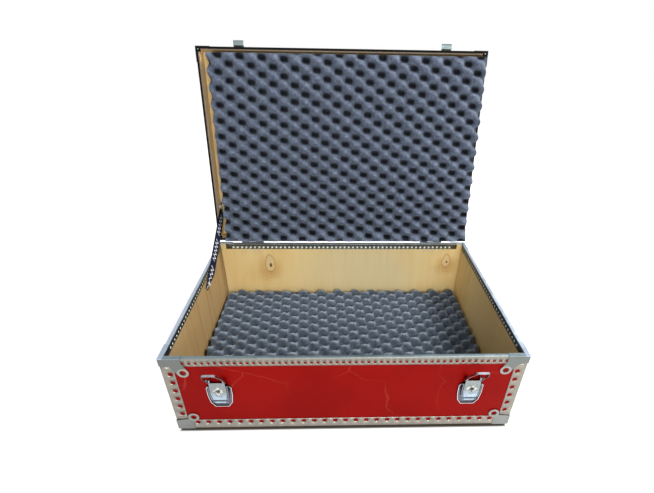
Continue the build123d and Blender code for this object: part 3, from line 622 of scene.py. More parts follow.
def knotted(finish, base, spot):
    """Pale knots, each with a dark heart, a dark rim and curled grain below it."""
    warp = finish.add("ShaderNodeTexNoise", Vector=spot, Scale=26.0, Detail=3.0).outputs["Color"]
    shake = finish.vector("MULTIPLY", finish.vector("SUBTRACT", warp, (0.5, 0.5, 0.5)), (0.014, 0.0, 0.022))
    bent = finish.vector("ADD", spot, shake)
    for x, z, width, tall in KNOTS:
        halo = knot_reach(finish, bent, x, z - tall * 0.5, width * 3.4, tall * 1.7)
        base = finish.mix(finish.ramp(halo, 0.25, 1.0, 0.62, 0.0), base, (0.60, 0.330, 0.095))
        reach = knot_reach(finish, bent, x, z, width, tall)
        rings = finish.ramp(finish.math("SINE", finish.times(reach, KNOT_RINGS)), 0.1, 1.0)
        swirl = knot_reach(finish, bent, x - width * 0.8, z - tall * 1.2, width * 4.2, tall)
        curl = finish.times(rings, finish.ramp(swirl, 0.2, 1.0, 0.42, 0.0))
        base = finish.mix(curl, base, (0.33, 0.140, 0.035))
        base = finish.mix(finish.ramp(reach, 0.95, 1.12, 0.55, 0.0), base, (0.38, 0.165, 0.045))
        base = finish.mix(finish.ramp(reach, 0.84, 0.95, 1.0, 0.0), base, (0.74, 0.54, 0.270))
        heart_x, heart_z = x + KNOT_HEART_SHIFT[0], z + KNOT_HEART_SHIFT[1]
        heart = knot_reach(finish, bent, heart_x, heart_z, width * 0.32, tall * 0.30)
        base = finish.mix(finish.ramp(heart, 0.5, 1.0, 0.95, 0.0), base, (0.085, 0.040, 0.012))
    return base


def cut_edges(finish, base, y, height, raised):
    """Darker end grain on the edges of the lid's boards."""
    along_normal = finish.times(y, RIM_NORMAL.y)
    along_normal = finish.math("ADD", along_normal, finish.times(height, RIM_NORMAL.z))
    cut = finish.times(finish.between(along_normal, *CUT_EDGE), raised)
    return finish.mix(cut, base, (0.26, 0.185, 0.125))


def plywood():
    """Birch plywood with its grain and knots, and light and shade painted by place on its end boards and behind
    the rim.
    """
    finish = Finish("birch_plywood")
    spot = finish.place()
    x, y, height = finish.split(spot)
    left = finish.math("LESS_THAN", x, -END_WALL_X)
    right = finish.math("GREATER_THAN", x, END_WALL_X)
    raised = finish.math("GREATER_THAN", height, HINGE.z)
    base = veneer(finish, spot, x)
    base = grained(finish, base, left)
    # Painted shade on the end boards and painted light on the lid's left board
    base = painted_board_shading(finish, base, y, left, right, raised)
    # Painted light on the wood behind the rim's holes
    base = painted_light_behind_rim(finish, base, x, y, height)
    base = knotted(finish, base, spot)
    base = cut_edges(finish, base, y, height, raised)
    return finish.set(Base_Color=base, Roughness=0.55, Specular_IOR_Level=0.22).material


# Finishes of foam, webbing, rubber and plastic


def foam():
    """Open-cell foam with painted light and shade by its rise: painted shade, black in the lid's dimples at a rise
    of 0, and painted light on its mounds at 1; from 1 to 2 it runs from the painted light on the net between
    the tray's mounds to the painted shade on their fronts."""
    finish = Finish("egg_foam")
    depth = finish.add("ShaderNodeAttribute")
    depth.attribute_name = "rise"
    rise = depth.outputs["Fac"]
    # Painted shade in the lid's dimples and painted light on its mounds
    out_of_dimple, up_mound = finish.ramp(rise, 0.21, 0.38), finish.ramp(rise, 0.36, 0.60)
    lid = finish.mix(out_of_dimple, (0.0008, 0.0012, 0.0020), (0.070, 0.085, 0.115))
    lid = finish.mix(up_mound, lid, (0.106, 0.126, 0.172))
    # Painted light on the net between the tray's mounds and painted shade on their fronts
    off_net = finish.ramp(rise, 1.22, 1.58)
    tray = finish.mix(off_net, (0.205, 0.240, 0.280), (0.068, 0.086, 0.112))
    base = finish.mix(finish.math("GREATER_THAN", rise, 1.0), lid, tray)
    pores = finish.ramp(finish.noise(finish.place(), 900, 2), 0.35, 0.65, 0.0, 0.25)
    base = finish.mix(pores, base, (0.045, 0.052, 0.072))
    _, tone = finish.mottle(0.78, 1.24, scale=130, detail=3, low=0.34, high=0.66, grain=0.65)
    finish.set(Base_Color=finish.tinted(base, tone), Roughness=1.0, Specular_IOR_Level=0.05)
    finish.set(Sheen_Weight=0.22, Sheen_Roughness=0.45, Sheen_Tint=(0.78, 0.86, 1.0))
    return finish.material


def webbing():
    """Dark navy ribbed webbing with a broken light line woven along its middle."""
    finish = Finish("navy_webbing")
    across, along, _ = finish.split(finish.add("ShaderNodeTexCoord").outputs["UV"])
    sway = finish.times(finish.math("SINE", finish.times(along, WEAVE_SWAY)), WEAVE_SWAY_WIDTH)
    middle = finish.minus(finish.minus(across, WEAVE_MIDDLE), sway)
    thread = finish.ramp(finish.math("ABSOLUTE", middle), *WEAVE_THREAD, 1.0, 0.0)
    beat = finish.math("FRACT", finish.times(along, WEAVE_DASHES))
    mark = finish.times(thread, finish.math("LESS_THAN", beat, WEAVE_DASH_SHARE))
    finish.set(Base_Color=finish.mix(mark, (0.010, 0.012, 0.030), (0.62, 0.64, 0.68)))
    finish.set(Roughness=0.85, Specular_IOR_Level=0.1)
    finish.bump(finish.math("SINE", finish.times(along, WEAVE_RIBS)), 0.4, 0.0004)
    return finish.material


def plain(name, base, roughness, specular=0.5):
    finish = Finish(name).set(Base_Color=base, Roughness=roughness)
    return finish.set(Specular_IOR_Level=specular).material


# Painted reflection of a bright bluish sky on the top of the rear rim, for both steels
REAR_TOP_PAINTED_SKY = (0.80, 0.93, 1.0)
MATERIALS = {
    "plywood": plywood(),
    "laminate": laminate(),
    "corner_steel": plated_steel(
        "corner_steel",
        0.40,
        base=(0.135, 0.143, 0.137),
        front_top_painted_sky=(0.20, 0.25, 0.27),
        rear_top_painted_sky=REAR_TOP_PAINTED_SKY,
        side_top_painted_sky=(0.38, 0.46, 0.56),
        inside_painted_shading=(0.10, 0.11, 0.11),
        inside_ends_painted_shading=(0.10, 0.11, 0.11),
        low=(0.195, 0.200, 0.190),
    ),
    "edging_steel": plated_steel(
        "edging_steel",
        0.42,
        base=(0.218, 0.202, 0.172),
        front_top_painted_sky=(0.21, 0.265, 0.285),
        rear_top_painted_sky=REAR_TOP_PAINTED_SKY,
        side_top_painted_sky=(0.46, 0.53, 0.63),
        inside_painted_shading=(0.290, 0.335, 0.310),
        inside_ends_painted_shading=(0.115, 0.145, 0.145),
        low=(0.250, 0.235, 0.205),
    ),
    "bright_zinc": metal("bright_zinc", (0.36, 0.39, 0.41), 0.20),
    "foam": foam(),
    "webbing": webbing(),
    "seal_rubber": plain("seal_rubber", (0.0035, 0.0035, 0.0035), 0.8, 0.1),
    "grip_plastic": plain("grip_plastic", (0.012, 0.012, 0.012), 0.5),
}
RING_STEEL = metal("ring_steel", (0.25, 0.245, 0.225), 0.34)
RIVET_ZINC = metal("rivet_zinc", (0.78, 0.80, 0.82), 0.35, 0.4)
FITTING_ZINC = {
    "latch_lever": latch_zinc(
        "lever_zinc",
        face_low_painted_light=(0.38, 0.48, 0.58),
        face_high_painted_light=(0.21, 0.23, 0.23),
        deep_painted_shade=(0.09, 0.10, 0.12),
        face_depth=0.0078,
        with_painted_shading=True,
    ),
    "latch_plate": latch_zinc(
        "plate_zinc",
        face_low_painted_light=(0.50, 0.52, 0.55),
        face_high_painted_light=(0.46, 0.46, 0.48),
        deep_painted_shade=(0.10, 0.10, 0.12),
        face_depth=0.0028,
    ),
    "latch_link": latch_zinc(
        "link_zinc",
        face_low_painted_light=(0.32, 0.35, 0.38),
        face_high_painted_light=(0.32, 0.35, 0.38),
        deep_painted_shade=(0.12, 0.13, 0.15),
        face_depth=0.0050,
    ),
    "base_fasteners": RIVET_ZINC,
    "lid_fasteners": RIVET_ZINC,
    "keeper": metal("keeper_zinc", (0.215, 0.270, 0.275), 0.22, mottle=0.2),
}


def paint_frame():
    """Gives every CAD node the finish of its slot or fitting, and soft edges to corners and fittings."""
    slots = {part["node"]: part["material_slot"] for part in frame["record"]["subparts"]}
    for name, obj in frame["nodes"].items():
        fitting = FITTING_ZINC.get(name.removeprefix("left_").removeprefix("right_"))
        obj.data.materials.clear()
        obj.data.materials.append(fitting or MATERIALS[slots[name]])
        if slots[name] == "corner_steel":
            bevelled(obj, CORNER_BEVEL)
        elif slots[name] in ("bright_zinc", "grip_plastic"):
            bevelled(obj, FITTING_BEVEL)


# Shapes from Geometry Nodes


def grown(group, seed, values):
    """The plain mesh that a geometry group makes of a seed shape, with its inputs set by name."""
    obj = bpy.data.objects.new("seed", mesh_from("seed", seed))
    bpy.context.scene.collection.objects.link(obj)
    modifier = obj.modifiers.new("group", "NODES")
    modifier.node_group = group
    for item in group.interface.items_tree:
        if item.in_out == "INPUT" and item.name in values:
            modifier[item.identifier] = values[item.name]
    obj.update_tag()
    shown = obj.evaluated_get(bpy.context.evaluated_depsgraph_get())
    mesh = bpy.data.meshes.new_from_object(shown)
    bpy.data.objects.remove(obj)
    return mesh


def finished(tree, geometry, material, result):
    """Ends a geometry group: makes what it holds real and gives it its material."""
    real = tree.add("GeometryNodeRealizeInstances", Geometry=geometry).outputs["Geometry"]
    painted = tree.add("GeometryNodeSetMaterial", Geometry=real, Material=material)
    tree.put(result["Geometry"], painted.outputs["Geometry"])


def row_group():
    """Geometry group that sets a cell at even steps and makes the row real."""
    inputs = [("Geometry", "Geometry"), ("Count", "Int"), ("Start", "Vector"), ("Step", "Vector")]
    group, tree, given, result = node_group(
        "row_of_cells", "GeometryNodeTree", inputs + [("Material", "Material")], [("Geometry", "Geometry")]
    )
    line = tree.add(
        "GeometryNodeMeshLine", Count=given["Count"], Start_Location=given["Start"], Offset=given["Step"]
    )
    row = tree.add("GeometryNodeInstanceOnPoints", Points=line.outputs["Mesh"], Instance=given["Geometry"])
    finished(tree, row.outputs["Instances"], given["Material"], result)
    return group


ROW = row_group()


def row_of(cell, count, step):
    """The cell set count times along X, centred on the origin."""
    values = {
        "Count": count,
        "Start": (-(count - 1) / 2 * step, 0.0, 0.0),
        "Step": (step, 0.0, 0.0),
        "Material": MATERIALS["edging_steel"],
    }
    return shape_of(grown(ROW, cell, values))


# Perforated edging. A profile is the section of a bent sheet in y and z, with its outer face at y = 0. Its
# holes are given by the leg that they sit in, each as a distance along the leg and a radius.


def bend(center, start_angle):
    """Points of a quarter bend about a center, turning clockwise."""
    points = []
    for i in range(BEND_STEPS + 1):
        angle = start_angle - math.pi / 2 * i / BEND_STEPS
        points.append((center[0] + BEND * math.cos(angle), center[1] + BEND * math.sin(angle)))
    return points


def channel_profile():
    """Rim channel with its top at z = 0, from the outer flange to the inner."""
    points = [(0, -RIM_OUTER)] + bend((BEND, -BEND), math.pi)
    points += bend((CHANNEL - BEND, -BEND), math.pi / 2) + [(CHANNEL, -RIM_INNER)]
    holes = {
        0: (RIM_OUTER - RIM_OUTER_DROP, RIM_HOLE),
        len(points) - 2: (RIM_INNER_DROP - BEND, RIM_HOLE),
    }
    return points, holes


def angle_profile(leg, inset):
    """Angle with one leg on z = 0 and the other on y = 0, each with a row of holes."""
    points = [(leg, 0)] + bend((BEND, BEND), -math.pi / 2) + [(0, leg)]
    return points, {0: (leg - inset, EDGE_HOLE), len(points) - 2: (inset - BEND, EDGE_HOLE)}


def lip_profile():
    """Rim angle of the lid: a narrow plain lip on z = 0 and a flange with small holes."""
    points = [(LID_LIP, 0)] + bend((BEND, BEND), -math.pi / 2) + [(0, RIM_OUTER)]
    return points, {len(points) - 2: (RIM_OUTER_DROP - BEND, RIM_HOLE)}


def plain_leg(a, b, width):
    """One pitch of a leg without a hole, between two points of the profile."""
    row = [(x, *p) for p in (a, b) for x in np.linspace(-width / 2, width / 2, CELL_STEPS + 1)]
    return row, [(k, k + 1, k + CELL_STEPS + 2, k + CELL_STEPS + 1) for k in range(CELL_STEPS)]


def pierced_leg(a, b, width, middle, radius):
    """One pitch of a leg with a round hole, between two points of the profile."""
    length = np.linalg.norm(b - a)
    xs = np.linspace(-width / 2, width / 2, CELL_STEPS + 1)
    ys = np.linspace(0, length, CELL_STEPS + 1)
    border = [(x, 0.0) for x in xs[:-1]] + [(width / 2, y) for y in ys[:-1]]
    border += [(x, length) for x in xs[:0:-1]] + [(-width / 2, y) for y in ys[:0:-1]]
    border = np.array(border)
    rays = border - (0.0, middle)
    rim = (0.0, middle) + radius * rays / np.linalg.norm(rays, axis=1)[:, None]
    along = (b - a) / length
    points = [(u, *(a + along * v)) for u, v in np.concatenate([border, rim])]
    count = len(border)
    return points, [(k, (k + 1) % count, count + (k + 1) % count, count + k) for k in range(count)]


def sheet_cell(profile, holes, width):
    """One pitch of the bent sheet."""
    legs = []
    for i, (a, b) in enumerate(zip(profile, profile[1:])):
        a, b = np.array(a, float), np.array(b, float)
        legs.append(pierced_leg(a, b, width, *holes[i]) if i in holes else plain_leg(a, b, width))
    return joined(legs)


def plain_end(profile, start, limit):
    """A length of the bent sheet without holes, from x = start to the x that limit gives for each point."""
    verts = [(start, *p) for p in profile] + [(limit(*p), *p) for p in profile]
    count = len(profile)
    return verts, [(k, count + k, count + k + 1, k + 1) for k in range(count - 1)]


def strip(profile, holes, length, pitch, margin, limit):
    """A perforated strip along X with plain ends."""
    count = int((length - 2 * margin) // pitch) + 1
    row = row_of(sheet_cell(profile, holes, pitch), count, pitch)
    right = plain_end(profile, count * pitch / 2, limit)
    return joined([row, right, moved(right, Matrix.Diagonal((-1, 1, 1, 1)))])


def along_end(x):
    """Matrix that turns a strip along X to the left end of the case, its outer face at x."""
    return Matrix.Translation((x, 0, 0)) @ Matrix.Rotation(-math.pi / 2, 4, "Z")


def lifted(z):
    return Matrix.Translation((0, 0, z))


def round_case(profile, holes, pitch, margin, setback=0.0):
    """Mitred strips on all four sides, where setback shortens the inner flange of the long ones."""
    strips = []
    for half, inner_setback in ((STRIP_X, setback), (STRIP_Y, 0.0)):
        def limit(y, z, half=half, inner_setback=inner_setback):
            return half - y - (inner_setback if y >= CHANNEL - STEEL / 2 else 0.0)

        strips.append(strip(profile, holes, 2 * half, pitch, margin, limit))
    front, left = Matrix.Translation((0, -STRIP_Y, 0)), along_end(-STRIP_X)
    return joined([mirrors(moved(strips[0], front), x=False), mirrors(moved(strips[1], left), y=False)])


def base_edging(angles):
    """Rim channels and bottom edging."""
    rims = round_case(*channel_profile(), RIM_PITCH, RIM_MARGIN, INNER_SETBACK)
    base_rims = piece("base_rims", moved(rims, lifted(RIM_Z)), "edging_steel", "base")
    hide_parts("front_rim_channel", "rear_rim_channel", "left_rim_channel", "right_rim_channel")
    base_lows = piece("base_edging", moved(angles, lifted(STRIP_Z)), "edging_steel", "base")
    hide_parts("front_bottom_edging", "rear_bottom_edging", "end_bottom_edgings")
    return base_rims, base_lows


def lid_edging(angles):
    """Rim angles and top edging, set round the shut lid and opened with it."""
    lips = round_case(*lip_profile(), RIM_PITCH, RIM_MARGIN)
    lid_rims = piece("lid_rims", moved(lips, OPEN_LID @ lifted(LID_RIM_Z)), "edging_steel", "lid")
    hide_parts("lid_rim_angles")
    lid_tops = moved(angles, OPEN_LID @ lifted(LID_RIM_Z + LID_HEIGHT) @ UPSIDE_DOWN)
    lid_tops = piece("lid_edging", lid_tops, "edging_steel", "lid")
    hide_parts("lid_top_edgings")
    return lid_rims, lid_tops


def upright_edging():
    """Angles on the four upright edges of the base, between the foot corners and the rim."""
    low, high = STRIP_Z + EDGE_LEG, RIM_Z - RIM_OUTER
    length = high - low
    profile, holes = angle_profile(UPRIGHT_LEG, UPRIGHT_INSET)
    upright = strip(profile, holes, length, UPRIGHT_PITCH, UPRIGHT_MARGIN, lambda y, z: length / 2)
    stand = Matrix(((0, 1, 0, -STRIP_X), (0, 0, 1, -STRIP_Y), (1, 0, 0, (low + high) / 2), (0, 0, 0, 1)))
    uprights = piece("base_uprights", mirrors(moved(upright, stand)), "edging_steel", "base")
    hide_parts("upright_edgings")
    return uprights


def edging():
    """All perforated edging of the base and of the lid, in place of the CAD strips."""
    angles = round_case(*angle_profile(EDGE_LEG, EDGE_RISE), EDGE_PITCH, EDGE_MARGIN)
    for obj in (*base_edging(angles), *lid_edging(angles), upright_edging()):
        solidified(obj, STEEL)


# Corners


def torus(radius, tube, flatten):
    """A ring round the Z axis, flattened along it."""
    verts, faces = [], []
    for i in range(RING_STEPS):
        a = 2 * math.pi * i / RING_STEPS
        for j in range(RING_SIDES):
            b = 2 * math.pi * j / RING_SIDES
            reach = radius + tube * math.cos(b)
            verts.append((reach * math.cos(a), reach * math.sin(a), tube * flatten * math.sin(b)))
            here, there, up = i * RING_SIDES, (i + 1) % RING_STEPS * RING_SIDES, (j + 1) % RING_SIDES
            faces.append((here + j, there + j, there + up, here + up))
    return verts, faces


def facing(place, normal):
    """Matrix that sets a shape made round +Z at a place, with +Z along the normal."""
    return Matrix.Translation(place) @ Vector(normal).to_track_quat("Z", "Y").to_matrix().to_4x4()


def corner_rings():
    """Raised rings round the holes of all pressed corners."""
    ring = torus(RING_RADIUS, RING_TUBE, RING_FLATTEN)
    out_x, out_y = STRIP_X + STEEL, STRIP_Y + STEEL
    base = []
    for (along, across), z, rise in ((RIM_EAR, RIM_Z + STEEL, -1), (FOOT_EAR, STRIP_Z - STEEL, 1)):
        base.append(moved(ring, facing((-out_x + along, -out_y, z + rise * across), (0, -1, 0))))
        base.append(moved(ring, facing((-out_x, -out_y + along, z + rise * across), (-1, 0, 0))))
    under = (-out_x + FOOT_EAR[0], -out_y + FOOT_EAR[1], STRIP_Z - STEEL)
    base.append(moved(ring, facing(under, (0, 0, -1))))
    piece("base_corner_rings", mirrors(joined(base)), "corner_steel", "base", RING_STEEL)
    top = (-out_x + LID_EAR[0], -out_y + LID_EAR[1], LID_RIM_Z + LID_HEIGHT + STEEL)
    lid = mirrors(moved(ring, facing(top, (0, 0, 1))))
    piece("lid_corner_rings", moved(lid, OPEN_LID), "corner_steel", "lid", RING_STEEL)


def corner_pads():
    """Black pads under the lid's corners, each with a bright rivet in the middle."""
    x, y = LID_LIP - STRIP_X, LID_LIP - STRIP_Y
    reach = PAD_SIDE - LID_LIP
    square = [(x, y), (x + reach, y), (x + reach, y + reach), (x, y + reach)]
    pads = mirrors(prism(square, LID_RIM_Z, LID_RIM_Z + PAD_THICKNESS))
    piece("lid_corner_pads", moved(pads, OPEN_LID), "seal_rubber", "lid", smooth=False)
    x, y = PAD_RIVET_INSET - STRIP_X - STEEL, PAD_RIVET_INSET - STRIP_Y - STEEL
    turns = np.linspace(0, 2 * math.pi, PAD_RIVET_SIDES + 1)[:-1]
    rim = [(x + PAD_RIVET_RADIUS * math.cos(a), y + PAD_RIVET_RADIUS * math.sin(a)) for a in turns]
    rivets = mirrors(prism(rim, LID_RIM_Z - PAD_RIVET_RISE, LID_RIM_Z))
    piece("lid_corner_rivets", moved(rivets, OPEN_LID), "bright_zinc", "lid", RIVET_ZINC, smooth=False)


# Foam


def mounds(tree, lattice, skew):
    """Height from 0 in the dimples to 1 on the mounds, by pitches along the lattice."""
    u, v, _ = tree.split(tree.vector("MULTIPLY", lattice, (2 * math.pi,) * 3))
    crossed = tree.times(tree.math("COSINE", u), tree.math("COSINE", v))
    skewed = tree.times(tree.math("SINE", u), tree.math("SINE", v))
    return tree.math("MULTIPLY_ADD", tree.math("MULTIPLY_ADD", skewed, skew, crossed), 0.5, 0.5)


def on_lattice(tree, given, position):
    """The position as pitches along the turned lattice, from its peak."""
    turned = tree.nodes.new("ShaderNodeVectorRotate")
    turned.rotation_type = "Z_AXIS"
    tree.fill(turned, Vector=position, Angle=tree.times(given["Turn"], -1.0))
    from_peak = tree.vector("SUBTRACT", turned.outputs["Vector"], given["Peak"])
    return tree.vector("DIVIDE", from_peak, given["Pitch"])


def calmed(tree, given, wave, inset, strength):
    """The wave brought towards the edge level where the inset from an edge is small."""
    fade = tree.math("EXPONENT", tree.math("DIVIDE", tree.times(inset, -1.0), given["Edge Reach"]))
    pull = tree.times(tree.minus(given["Edge Level"], wave), strength)
    return tree.math("MULTIPLY_ADD", pull, fade, wave)


def sagging(tree, given, inset):
    """Extra thickness that runs up to the sag where the inset from the hinge edge is small."""
    share = tree.minus(1.0, tree.math("DIVIDE", inset, given["Sag Reach"]))
    share = tree.math("MAXIMUM", share, 0.0)
    return tree.times(share, share, given["Sag"])


def closed_below(tree, top):
    """The open sheet with sides down to z = 0 and a flat bottom."""
    faces_on_edge = tree.add("GeometryNodeInputMeshEdgeNeighbors").outputs["Face Count"]
    sides = tree.nodes.new("GeometryNodeExtrudeMesh")
    sides.mode = "EDGES"
    tree.fill(sides, Mesh=top, Selection=tree.math("LESS_THAN", faces_on_edge, 2), Offset_Scale=0.0)
    lower = sides.outputs["Top"]
    x, y, _ = tree.split(tree.add("GeometryNodeInputPosition").outputs["Position"])
    ground = tree.add("ShaderNodeCombineXYZ", X=x, Y=y).outputs["Vector"]
    walled = tree.add(
        "GeometryNodeSetPosition", Geometry=sides.outputs["Mesh"], Selection=lower, Position=ground
    ).outputs["Geometry"]
    loop = tree.add("GeometryNodeMeshToCurve", Mesh=walled, Selection=lower)
    bottom = tree.add("GeometryNodeFillCurve", Curve=loop.outputs["Curve"])
    bottom.mode = "NGONS"
    bottom = tree.add("GeometryNodeFlipFaces", Mesh=bottom.outputs["Mesh"]).outputs["Mesh"]
    both = tree.nodes.new("GeometryNodeJoinGeometry")
    for part in (bottom, walled):
        tree.put(both.inputs["Geometry"], part)
    merged = tree.add("GeometryNodeMergeByDistance", Geometry=both.outputs["Geometry"], Distance=WELD)
    return merged.outputs["Geometry"]


def shaded(tree, given, block, lattice, height):
    """The block with its rise stored: the shifted lattice on top, and one level on the bottom."""
    # The rise paints the foam's light and shade, shifted off the mounds on the tray
    rise = mounds(tree, tree.vector("ADD", lattice, given["Shade Shift"]), given["Skew"])
    on_top = tree.math("GREATER_THAN", height, WELD)
    rise = tree.times(tree.minus(rise, FOAM_SIDE_SHADE), on_top)
    rise = tree.math("ADD", tree.math("ADD", rise, FOAM_SIDE_SHADE), given["Shade Base"])
    stored = tree.nodes.new("GeometryNodeStoreNamedAttribute")
    return tree.fill(stored, Geometry=block, Name="rise", Value=rise).outputs["Geometry"]


def egg_crate_group():
    """Geometry group of a foam block over a span, flat below, with a turned lattice of mounds on top."""
    inputs = [("Columns", "Int"), ("Rows", "Int"), ("Material", "Material")]
    inputs += [(name, "Vector" if isinstance(value, tuple) else "Float") for name, value in LID_FOAM.items()]
    group, tree, given, result = node_group(
        "egg_crate", "GeometryNodeTree", inputs, [("Geometry", "Geometry")]
    )
    size_x, size_y, _ = tree.split(tree.vector("SUBTRACT", given["High"], given["Low"]))
    grid = tree.add("GeometryNodeMeshGrid", Size_X=size_x, Size_Y=size_y)
    tree.fill(grid, Vertices_X=given["Columns"], Vertices_Y=given["Rows"])
    middle = tree.vector("MULTIPLY", tree.vector("ADD", given["High"], given["Low"]), (0.5, 0.5, 0.5))
    sheet = tree.add("GeometryNodeTransform", Geometry=grid.outputs["Mesh"], Translation=middle)
    position = tree.add("GeometryNodeInputPosition").outputs["Position"]
    lattice = on_lattice(tree, given, position)
    x, y, height = tree.split(position)
    lows, highs, calm = (tree.split(given[name]) for name in ("Low", "High", "Calm"))
    wave = mounds(tree, lattice, given["Skew"])
    for place, low, high, strength in zip((x, y), lows, highs, calm):
        inset = tree.math("MINIMUM", tree.minus(place, low), tree.minus(high, place))
        wave = calmed(tree, given, wave, inset, strength)
    hollow = tree.minus(1.0, tree.math("POWER", wave, given["Sharpness"]))
    top = tree.minus(given["Thickness"], tree.times(hollow, given["Relief"]))
    top = tree.math("ADD", top, sagging(tree, given, tree.minus(highs[1], y)))
    raised = tree.add("ShaderNodeCombineXYZ", X=x, Y=y, Z=top).outputs["Vector"]
    sheet = tree.add("GeometryNodeSetPosition", Geometry=sheet.outputs["Geometry"], Position=raised)
    block = closed_below(tree, sheet.outputs["Geometry"])
    finished(tree, shaded(tree, given, block, lattice, height), given["Material"], result)
    return group


EGG_CRATE = egg_crate_group()


def foam_piece(name, node, body, matrix, values):
    """A foam block in place of a CAD node, with the rise that its finish reads."""
    counts = [int((values["High"][axis] - values["Low"][axis]) / FOAM_STEP) + 1 for axis in (0, 1)]
    values = values | {"Columns": counts[0], "Rows": counts[1], "Material": MATERIALS["foam"]}
    mesh = grown(EGG_CRATE, ([], []), values)
    shade = np.empty(len(mesh.vertices), np.float32)
    mesh.attributes["rise"].data.foreach_get("value", shade)
    obj = piece(name, moved(shape_of(mesh), matrix), "foam", body, merge=0)
    rise = obj.data.attributes.new("rise", "FLOAT", "POINT")
    rise.data.foreach_set("value", shade)
    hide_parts(node)
    return obj


def foams():
    """The tray's foam, which fills its CAD box, and the lid's foam, which hangs from the lid's ceiling."""
    low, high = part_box("floor_foam")
    span = {"Low": (low.x, low.y, 0.0), "High": (high.x, high.y, 0.0)}
    foam_piece("floor_egg_foam", "floor_foam", "base", lifted(low.z), FLOOR_FOAM | span)
    ceiling = LID_RIM_Z + LID_HEIGHT - LID_WALL - LID_CEILING_GAP
    foam_piece("lid_egg_foam", "lid_foam", "lid", OPEN_LID @ lifted(ceiling) @ UPSIDE_DOWN, LID_FOAM)


# Strap


def eased(t):
    """Smooth step from 0 to 1."""
    t = min(max(t, 0.0), 1.0)
    return t * t * (3 - 2 * t)


def strap():
    """Webbing that twists a little between its two screws."""
    low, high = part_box("stay_strap")
    x = (low.x + high.x) / 2
    span_y, span_z = high.y - low.y, high.z - low.z
    length = (span_y**2 + span_z**2 - STRAP_WIDTH**2) ** 0.5
    slope = math.atan2(span_z, span_y) - math.atan2(STRAP_WIDTH, length)
    run = Vector((0, math.cos(slope), math.sin(slope)))
    start = Vector((x, (low.y + high.y) / 2, (low.z + high.z) / 2)) - run * length / 2
    side = Vector((0, -run.z, run.y))
    verts, uvs = [], []
    for i in range(STRAP_STEPS + 1):
        t = i / STRAP_STEPS
        lift = eased(t / STRAP_EASE) * eased((1 - t) / STRAP_EASE)
        twist = STRAP_TWIST * lift
        middle = start + run * length * t + Vector((STRAP_SWAY * lift, 0, 0))
        width = STRAP_WIDTH * (STRAP_GATHER + (1 - STRAP_GATHER) * lift) * STRAP_SLIM
        across = side * math.cos(twist) + Vector((math.sin(twist), 0, 0))
        face = across.cross(run)
        for u, v in ((0, -1), (1, -1), (1, 1), (0, 1)):
            point = middle + across * width * (u - 0.5) + face * STRAP_THICKNESS / 2 * v
            verts.append(tuple(point))
            uvs.append((u, t * length))
    faces = []
    for i in range(STRAP_STEPS):
        a, b = 4 * i, 4 * i + 4
        faces += [(a + k, a + (k + 1) % 4, b + (k + 1) % 4, b + k) for k in range(4)]
    faces += [(3, 2, 1, 0), tuple(4 * STRAP_STEPS + k for k in range(4))]
    obj = piece("lid_stay_webbing", (verts, faces), "webbing", merge=0)
    layer = obj.data.uv_layers.new(name="UVMap")
    for loop in obj.data.loops:
        layer.data[loop.index].uv = uvs[loop.vertex_index]
    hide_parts("stay_strap")
    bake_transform(obj)
    return obj


# Stage


def seen_directly(tree):
    """1 for camera, glossy and transmission rays, which see the plain background."""
    path = tree.add("ShaderNodeLightPath")
    value = path.outputs["Is Camera Ray"]
    for name in ("Is Glossy Ray", "Is Transmission Ray"):
        value = tree.math("MAXIMUM", value, path.outputs[name])
    return value


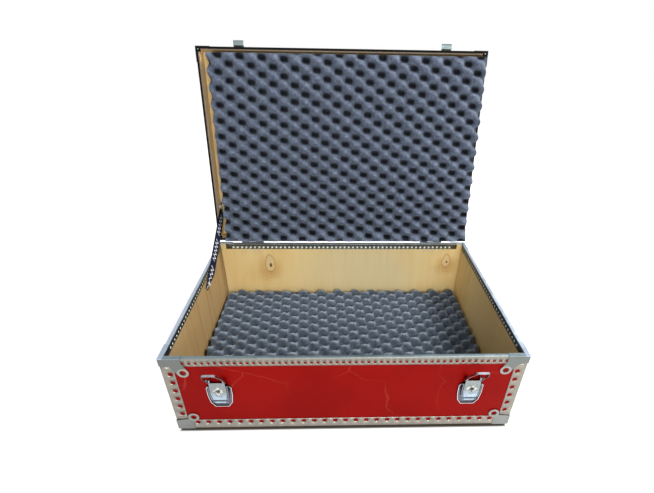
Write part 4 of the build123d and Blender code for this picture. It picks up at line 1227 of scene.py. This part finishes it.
def pale_floor():
    """A floor that shows white but keeps the shadow, with a painted contact shadow under the case."""
    corners = [(-FLOOR_HALF, -FLOOR_HALF, 0), (FLOOR_HALF, -FLOOR_HALF, 0)]
    corners += [(FLOOR_HALF, FLOOR_HALF, 0), (-FLOOR_HALF, FLOOR_HALF, 0)]
    floor = bpy.data.objects.new("floor", mesh_from("floor", (corners, [(0, 1, 2, 3)])))
    bpy.context.scene.collection.objects.link(floor)
    finish = Finish("pale_floor")
    x, y, _ = finish.split(finish.place())
    beyond_x = finish.minus(finish.math("ABSOLUTE", x), STRIP_X)
    beyond_y = finish.minus(finish.math("ABSOLUTE", y), STRIP_Y)
    # Painted contact shadow on the floor under the case and a few millimetres round it
    clear = finish.ramp(finish.math("MAXIMUM", beyond_x, beyond_y), *CONTACT_SHADE)
    finish.set(Base_Color=finish.mix(clear, (0.10, 0.08, 0.06), (0.94, 0.94, 0.94)))
    finish.set(Roughness=0.95, Specular_IOR_Level=0.0, Emission_Color=(1, 1, 1))
    lift = finish.times(seen_directly(finish), FLOOR_LIFT)
    finish.set(Emission_Strength=finish.times(lift, clear))
    floor.data.materials.append(finish.material)


def white_world():
    """A soft white surround that shows as plain white."""
    world = bpy.data.worlds.new("studio")
    world.use_nodes = True
    tree = Tree(world.node_tree)
    fill = tree.nodes["Background"]
    tree.fill(fill, Color=(0.96, 0.98, 1.0), Strength=WORLD_FILL)
    shown = tree.add("ShaderNodeBackground", Color=(1, 1, 1))
    both = tree.add("ShaderNodeMixShader", Fac=seen_directly(tree))
    tree.put(both.inputs[1], fill.outputs["Background"])
    tree.put(both.inputs[2], shown.outputs["Background"])
    tree.put(tree.nodes["World Output"].inputs["Surface"], both.outputs["Shader"])
    bpy.context.scene.world = world


def lamps():
    """Soft square lamps."""
    for name, place, target, side, power in LAMPS:
        light = bpy.data.lights.new(name, "AREA")
        light.shape = "RECTANGLE"
        light.size = side
        light.size_y = side
        light.energy = power
        obj = bpy.data.objects.new(name, light)
        bpy.context.scene.collection.objects.link(obj)
        obj.location = place
        obj.rotation_euler = (Vector(target) - Vector(place)).to_track_quat("-Z", "Y").to_euler()


def camera():
    """Camera fitted to the photograph, with its optical centre off the middle of the picture."""
    turn = Matrix.Rotation(CAMERA_YAW, 4, "Z") @ Matrix.Rotation(math.pi / 2 - CAMERA_PITCH, 4, "X")
    data = bpy.data.cameras.new("photo_camera")
    data.sensor_width = SENSOR_WIDTH
    data.lens = FOCAL_PX * data.sensor_width / PHOTO[0]
    data.shift_x = -CENTRE_SHIFT_PX[0] / PHOTO[0]
    data.shift_y = CENTRE_SHIFT_PX[1] / PHOTO[0]
    data.clip_start, data.clip_end = CLIP
    obj = bpy.data.objects.new("photo_camera", data)
    bpy.context.scene.collection.objects.link(obj)
    obj.matrix_world = Matrix.Translation(CAMERA_PLACE) @ turn @ Matrix.Rotation(CAMERA_ROLL, 4, "Z")
    bpy.context.scene.camera = obj


paint_frame()
edging()
corner_rings()
corner_pads()
foams()
strap()
pale_floor()
white_world()
lamps()
camera()
bpy.context.scene.view_settings.view_transform = "Standard"
